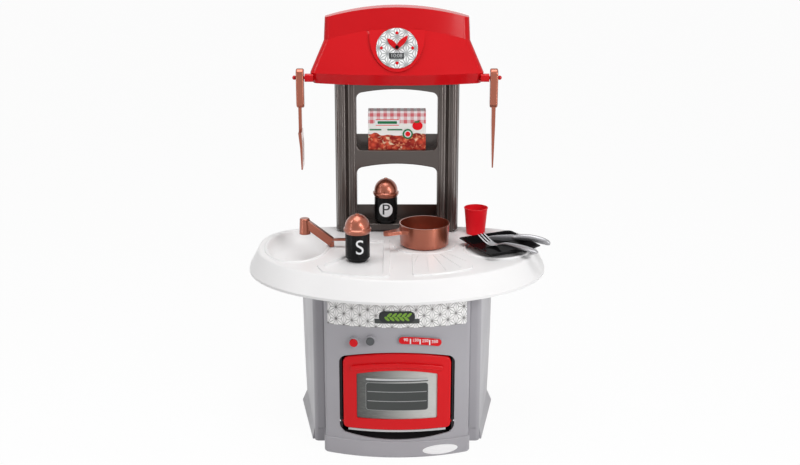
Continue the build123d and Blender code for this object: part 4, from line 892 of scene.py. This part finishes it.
@dataclass
class Back(Bench):
    """Back unit, hood and clock."""

    lean: float = 25.408
    clock: Place = (0.0, 113.375 * MM, 680.0 * MM)
    dial_raise: float = 3.5 * MM
    dot_ring: float = 28.0 * MM
    dot_radius: float = 2.9 * MM
    dot_thick: float = 0.5 * MM
    dot_proud: float = 0.2 * MM
    dot_sides: int = 40
    display_place: Pair = (-1.0 * MM, -14.5 * MM)
    display_size: Place = (27.0 * MM, 0.3 * MM, 11.0 * MM)
    display_proud: float = 0.05 * MM
    display_soft: float = 0.1 * MM
    digit_size: float = 9.6 * MM
    digit_thick: float = 0.12 * MM
    digit_proud: float = 0.22 * MM
    digit_stroke: float = 0.012
    post_y: float = 133.0 * MM
    bead_z: Pair = (330.0 * MM, 613.0 * MM)
    beads: tuple[Pair, ...] = ((102.5 * MM, 3.4 * MM), (81.5 * MM, 4.2 * MM))
    bead_proud: float = 2.3 * MM
    bead_soft: float = 1.0 * MM
    bead_sides: int = 48

    def build(self) -> None:
        """Dress the back unit, the hood and the clock, and add the posts' beads and the dial's marks."""
        taupe, red = TAUPE.dress(), RED_GLOSS.dress()
        dial = LeafPrint(
            "dial_leaf_print", (236, 237, 237), (142, 146, 146), 0.9, 1.7 * MM, self.clock, self.lean
        )
        dress_nodes(taupe, "back_unit")
        dress_nodes(STEEL.dress(), "screws")
        dress_nodes(red, "hood", "clock_hour_hand", "clock_minute_hand")
        dress_nodes(dial.dress(), "clock_dial")
        dress_nodes(BLACK_GLOSS.dress(), "clock_hub")
        for side, name in ((-1, "left"), (1, "right")):
            self.post_beads(side, name, taupe)
        self.dots(red)
        self.display()

    def post_beads(self, side: int, name: str, look: Look) -> None:
        """Rounded beads that run down a post on both sides of its groove.

        Args:
            side: -1 for the left post, 1 for the right one.
            name: Name of the side.
            look: Their material.
        """
        low, high = self.bead_z
        for index, (x, half) in enumerate(self.beads):
            middle = (side * x, self.post_y, (low + high) / 2)
            piece = self.rod(self.bead_sides, half, high - low, middle)
            piece.scale = (1.0, self.bead_proud / half, 1.0)
            self.fixed(piece)
            self.softened(piece, self.bead_soft)
            self.carry(piece, f"post_bead_{name}_{index}", Body.STAND, "taupe_metallic", look)

    def on_dial(self, piece: Piece, across: float, up: float, proud: float) -> None:
        """Lean a piece drawn in the XZ plane with the dial and put it on the dial's face.

        Args:
            piece: Object to place, centred on the origin.
            across: Place to the right of the clock's centre.
            up: Place above the centre, along the face.
            proud: Distance of its middle out of the face.
        """
        lean = math.radians(self.lean)
        out = Vector((0.0, -math.cos(lean), math.sin(lean))) * (self.dial_raise + proud)
        rise = Vector((0.0, math.sin(lean), math.cos(lean))) * up
        piece.rotation_euler = (-lean, 0.0, 0.0)
        self.moved(piece, Vector(self.clock) + out + rise + Vector((across, 0.0, 0.0)))

    def dots(self, look: Look) -> None:
        """Raised dots at the quarters.

        Args:
            look: Their material.
        """
        for index in range(4):
            angle = index * math.pi / 2
            piece = self.fixed(self.rod(self.dot_sides, self.dot_radius, self.dot_thick, turn=UPRIGHT))
            self.softened(piece, self.dot_thick * self.soft_share)
            across, up = self.dot_ring * math.sin(angle), self.dot_ring * math.cos(angle)
            self.on_dial(piece, across, up, self.dot_proud)
            self.carry(piece, f"dial_dot_{index}", Body.STAND, "red_plastic", look)

    def display(self) -> None:
        """Dark display with its digits, below the hands' axis."""
        self.clear()
        bpy.ops.mesh.primitive_cube_add(size=1.0)
        piece = bpy.context.object
        piece.scale = self.display_size
        self.fixed(piece)
        self.softened(piece, self.display_soft)
        self.on_dial(piece, *self.display_place, self.display_proud)
        self.carry(piece, "dial_display", Body.STAND, "black_gloss", PRINT_BLACK.dress())
        digits = self.written("10:08", self.digit_size, self.digit_thick, stroke=self.digit_stroke)
        self.on_dial(digits, *self.display_place, self.digit_proud)
        self.carry(digits, "dial_digits", Body.STAND, "printed_band", PRINT_LINE.dress())


@dataclass
class Shakers(Bench):
    """Salt and pepper shakers with their letters."""

    film: float = 0.3 * MM
    letter_up: float = 28.5 * MM
    salt_size: float = 37.0 * MM
    salt_wide: float = 0.95
    salt_across: float = 4.5 * MM
    pepper_size: float = 29.0 * MM
    pepper_wide: float = 1.12
    disc_radius: float = 13.5 * MM
    strips: int = 16

    def build(self) -> None:
        """Dress both shakers and add their letters."""
        dress_nodes(COPPER.dress(), "salt_cap", "pepper_cap")
        dress_nodes(BLACK_SATIN.dress(), "salt_body", "pepper_body")
        white, dark = PRINT_WHITE.dress(), PRINT_BLACK.dress()
        letter = self.written("S", self.salt_size, self.film, self.salt_wide)
        self.printed(letter, "salt_letter", "salt_body", Body.SALT, white, self.film / 2, self.salt_across)
        disc = self.sheet(2 * self.disc_radius, 2 * self.disc_radius, self.film, None)
        self.printed(disc, "pepper_disc", "pepper_body", Body.PEPPER, white, 0.0)
        letter = self.written("P", self.pepper_size, self.film, self.pepper_wide)
        self.printed(letter, "pepper_letter", "pepper_body", Body.PEPPER, dark, self.film * 1.5)

    def printed(
        self, piece: Piece, name: str, node: str, body: Body, look: Look, proud: float, across: float = 0.0
    ) -> None:
        """Wrap a flat print round a shaker's body.

        Args:
            piece: Print drawn in the XZ plane, centred on the origin.
            name: Name of the piece.
            node: CAD node that it is printed on.
            body: Body it rides on.
            look: Its material.
            proud: Distance from the body's surface.
            across: Place to the right of the middle.
        """
        low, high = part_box(node)
        x, y = (low.x + high.x) / 2, (low.y + high.y) / 2
        self.sliced(piece, self.disc_radius, self.strips)
        self.moved(piece, (x + across, 0.0, low.z + self.letter_up))
        self.wrapped(piece, (x, y), (high.x - low.x) / 2 + proud)
        self.carry(piece, name, body, "printed_band", look)


@dataclass
class Cutlery(Bench):
    """Fork and table knife, modelled with full rounded handles."""

    fork_start: Pair = (153.0 * MM, 54.5 * MM)
    fork_heading: float = -46.9
    fork_sole: float = 0.7 * MM
    knife_start: Pair = (164.0 * MM, 75.0 * MM)
    knife_heading: float = -22.0
    knife_sole: float = 4.5 * MM
    tine_offsets: tuple[float, ...] = (-7.4, 0.0, 7.4)
    tine_gather: float = 0.9
    grain: float = 0.45 * MM

    def build(self) -> None:
        """Model both pieces over their CAD nodes."""
        look = CUTLERY.dress()
        self.laid(self.fork(), Body.FORK, self.fork_start, self.fork_heading, self.fork_sole, look)
        knife = self.table_knife()
        self.laid(knife, Body.TABLE_KNIFE, self.knife_start, self.knife_heading, self.knife_sole, look)

    def fork(self) -> Piece:
        """Fork along X: three curved tines, a palm, a narrow neck and a full handle.

        Returns:
            The mesh object.
        """
        handle = self.limb(
            (34, 0, 3.4, 4.2, 1.2), (46, 0, 5.8, 3.6, 1.7), (58, 0, 11.4, 3.4, 2.3),
            (74, 0, 12.8, 4.8, 3.1), (92, 0, 13.4, 6.6, 3.8), (112, 0, 14.0, 7.4, 4.1),
            (130, 0, 13.0, 6.6, 3.6), (138, 0, 12.3, 3.6, 2.2),
        )
        palm = self.limb(
            (20, 0, 6.0, 7.6, 0.9), (26, 0, 3.6, 10.2, 1.3), (34, 0, 3.0, 9.6, 1.5),
            (42, 0, 4.6, 5.4, 1.5), (50, 0, 7.2, 2.6, 1.2),
        )
        tines = [
            self.limb(
                (0, offset, 17.0, 1.0, 0.8), (4, offset, 14.8, 1.8, 1.2), (12, offset, 10.2, 2.0, 1.3),
                (20, offset, 5.8, 2.1, 1.3), (30, offset * self.tine_gather, 3.0, 2.2, 1.2),
            )
            for offset in self.tine_offsets
        ]
        return self.joined([handle, palm, *tines], self.grain)

    def table_knife(self) -> Piece:
        """Knife along X: upright blade and an arched handle.

        Returns:
            The mesh object.
        """
        blade = self.limb(
            (0, 0, 0.2, 0.7, 3.6), (6, 0, 0.9, 1.2, 5.4), (22, 0, 3.2, 1.6, 6.8),
            (42, 0, 6.2, 1.6, 7.0), (58, 0, 9.0, 1.6, 5.8), (64, 0, 9.6, 1.2, 3.6),
        )
        handle = self.limb(
            (50, 0, 8.0, 2.2, 3.4), (57, 0, 9.6, 4.4, 5.4), (70, 0, 11.2, 5.4, 6.4),
            (88, 0, 11.4, 5.8, 7.0), (104, 0, 9.6, 5.8, 7.0), (118, 0, 6.6, 5.0, 6.0),
            (123.5, 0, 4.8, 2.6, 3.4),
        )
        return self.joined([blade, handle], self.grain)

    def laid(self, piece: Piece, body: Body, start: Pair, heading: float, sole: float, look: Look) -> None:
        """Turn a piece to its heading, put it where its CAD node lies and let it stand for the node.

        Args:
            piece: Object along X.
            body: Its body, which has the name of its CAD node.
            start: X and Y of its start.
            heading: Its direction in degrees.
            sole: Height of its lowest point over its own zero.
            look: Its material.
        """
        node = body.value
        low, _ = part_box(node)
        piece.rotation_euler = (0.0, 0.0, math.radians(heading))
        self.moved(piece, (*start, low.z - sole))
        self.carry(piece, f"{node}_full", body, "cutlery_grey", look, (node,))


@dataclass
class Cookware(Bench):
    """Saucepan, cup, plate, hanging utensils and the carton."""

    film: float = 0.25 * MM
    layer: float = 0.12 * MM
    band_height: float = 24.0 * MM
    heap_height: float = 30.0 * MM

    def build(self) -> None:
        """Dress the loose pieces and print the carton."""
        dress_nodes(COPPER.dress(), "saucepan", "turner", "hanging_knife")
        dress_nodes(RED_CUP.dress(), "cup")
        dress_nodes(BLACK_GLOSS.dress(), "plate")
        low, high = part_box("carton")
        board = CartonPrint("carton_print", high.z - self.band_height, low.z + self.heap_height)
        dress_nodes(board.dress(), "carton")
        self.carton_print(low, high)

    def carton_print(self, low: Vector, high: Vector) -> None:
        """Label, bars, a red fruit and a ring badge on the carton's front, each a layer further out.

        Args:
            low: Lower corner of the carton.
            high: Upper corner of the carton.
        """
        white, leaf, red = PRINT_WHITE.dress(), PRINT_LEAF.dress(), RED_CUP.dress()
        # Name, place, size and corner in millimetres, where no corner makes an oval, and look
        plates = (
            ("label", (-18.0, 51.5), (46.0, 12.0), 0.8, white),
            ("label_top", (-18.0, 56.8), (43.0, 1.3), 0.3, red),
            ("label_foot", (-18.0, 46.4), (43.0, 1.3), 0.3, red),
            ("label_bar", (-18.0, 51.6), (36.0, 5.0), 1.6, leaf),
            ("bar_left", (-40.0, 38.0), (22.0, 2.6), 0.8, leaf),
            ("bar_right", (-4.0, 38.0), (28.0, 2.6), 0.8, leaf),
            ("fruit", (38.0, 45.5), (19.0, 16.5), None, red),
            ("fruit_leaf", (36.5, 52.6), (9.0, 3.2), None, leaf),
            ("fruit_stalk", (40.5, 54.0), (2.0, 5.0), None, leaf),
            ("badge", (20.0, 30.0), (19.0, 19.0), None, leaf),
            ("badge_ring", (20.0, 30.0), (13.0, 13.0), None, white),
            ("badge_heart", (20.0, 30.0), (9.5, 9.5), None, red),
        )
        middle = (low.x + high.x) / 2
        for index, (name, (across, up), (width, height), corner, look) in enumerate(plates):
            rounding = None if corner is None else corner * MM
            piece = self.sheet(width * MM, height * MM, self.film, rounding)
            self.moved(piece, (middle + across * MM, low.y - self.layer * index, low.z + up * MM))
            self.carry(piece, f"carton_{name}", Body.CARTON, "carton_print", look)


@dataclass
class Studio(Bench):
    """Pale floor, white surroundings, soft lamps and the camera."""

    target_z: float = 368.5 * MM
    distance: float = 2.232
    pitch: float = 17.0
    lens: float = 56.25
    sensor: float = 36.0
    shift_x: float = 0.00375
    sky: float = 0.19
    floor_glow: float = 0.96
    floor_size: float = 30.0
    floor_pale: Colour = (250, 250, 250)
    floor_shade: Colour = (247, 247, 248)
    # Name, place, size and power of each lamp
    lamps: tuple[tuple[str, Place, Pair, float], ...] = (
        ("key", (1.1, -1.65, 1.42), (0.75, 0.85), 14.5),
        ("top", (-0.1, -0.1, 2.0), (1.25, 1.25), 19.0),
        ("left_high", (-1.15, -0.15, 1.35), (0.15, 0.6), 1.9),
        ("strip_left", (-0.95, -0.5, 0.4), (0.05, 0.9), 1.3),
        ("strip_right", (0.95, -0.85, 0.4), (0.09, 0.95), 3.8),
    )

    def build(self) -> None:
        """Make the floor, the surroundings, the lamps and the camera."""
        self.floor()
        self.surroundings()
        for lamp in self.lamps:
            self.lamp(*lamp)
        self.camera()

    def floor(self) -> None:
        """Large floor that keeps the object's shadow on a near-white ground."""
        self.clear()
        bpy.ops.mesh.primitive_plane_add(size=self.floor_size)
        floor = bpy.context.object
        floor.name = "floor"
        shader = Shader("pale_floor")
        glow = shader.sum("MULTIPLY", shader.seen(), self.floor_glow)
        layers = {0: glow, 1: shader.surface.outputs[0], 2: shader.node("ShaderNodeEmission").outputs[0]}
        mixer = shader.node("ShaderNodeMixShader", layers)
        shader.feed(shader.output, {"Surface": mixer.outputs[0]})
        floor.data.materials.append(shader.finished({
            "Base Color": shader.blend(shader.noise(3.0, 3.0), self.floor_pale, self.floor_shade),
            "Roughness": 0.6,
            "Specular IOR Level": 0.2,
        }))

    def surroundings(self) -> None:
        """World that is white where it is seen and dimmer where it lights the object."""
        world = bpy.data.worlds.new("studio")
        bpy.context.scene.world = world
        world.use_nodes = True
        nodes = Nodes(world.node_tree)
        level = nodes.span(nodes.seen(), 0.0, 1.0, self.sky, 1.0)
        ground = nodes.node("ShaderNodeBackground", {"Strength": level})
        nodes.node("ShaderNodeOutputWorld", {"Surface": ground.outputs[0]})

    def lamp(self, name: str, place: Place, size: Pair, power: float) -> None:
        """Add an oblong area lamp that looks at the object's middle.

        Args:
            name: Name of the lamp.
            place: Where it stands.
            size: Its width and height in metres.
            power: Its power in watts.
        """
        self.clear()
        bpy.ops.object.light_add(type="AREA", location=place)
        lamp = bpy.context.object
        lamp.name = f"lamp_{name}"
        lamp.data.shape = "RECTANGLE"
        lamp.data.size, lamp.data.size_y = size
        lamp.data.energy = power
        aim = Vector((0.0, 0.0, self.target_z)) - Vector(place)
        lamp.rotation_euler = aim.to_track_quat("-Z", "Y").to_euler()

    def camera(self) -> None:
        """Place the camera at the photograph's angle."""
        pitch = math.radians(self.pitch)
        place = (0.0, -self.distance * math.cos(pitch), self.target_z + self.distance * math.sin(pitch))
        self.clear()
        bpy.ops.object.camera_add(location=place, rotation=(math.pi / 2 - pitch, 0.0, 0.0))
        camera = bpy.context.object
        camera.data.lens = self.lens
        camera.data.sensor_width = self.sensor
        camera.data.shift_x = self.shift_x
        bpy.context.scene.camera = camera
        bpy.context.scene.view_settings.view_transform = "Standard"


def main() -> None:
    """Build every sub-assembly in order."""
    logging.basicConfig(level=logging.INFO, format="%(name)s: %(message)s")
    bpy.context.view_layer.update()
    for part in (Base(), OvenDoor(), Worktop(), Back(), Shakers(), Cutlery(), Cookware(), Studio()):
        LOG.info("building %s", type(part).__name__)
        part.build()


if __name__ == "__main__":
    main()
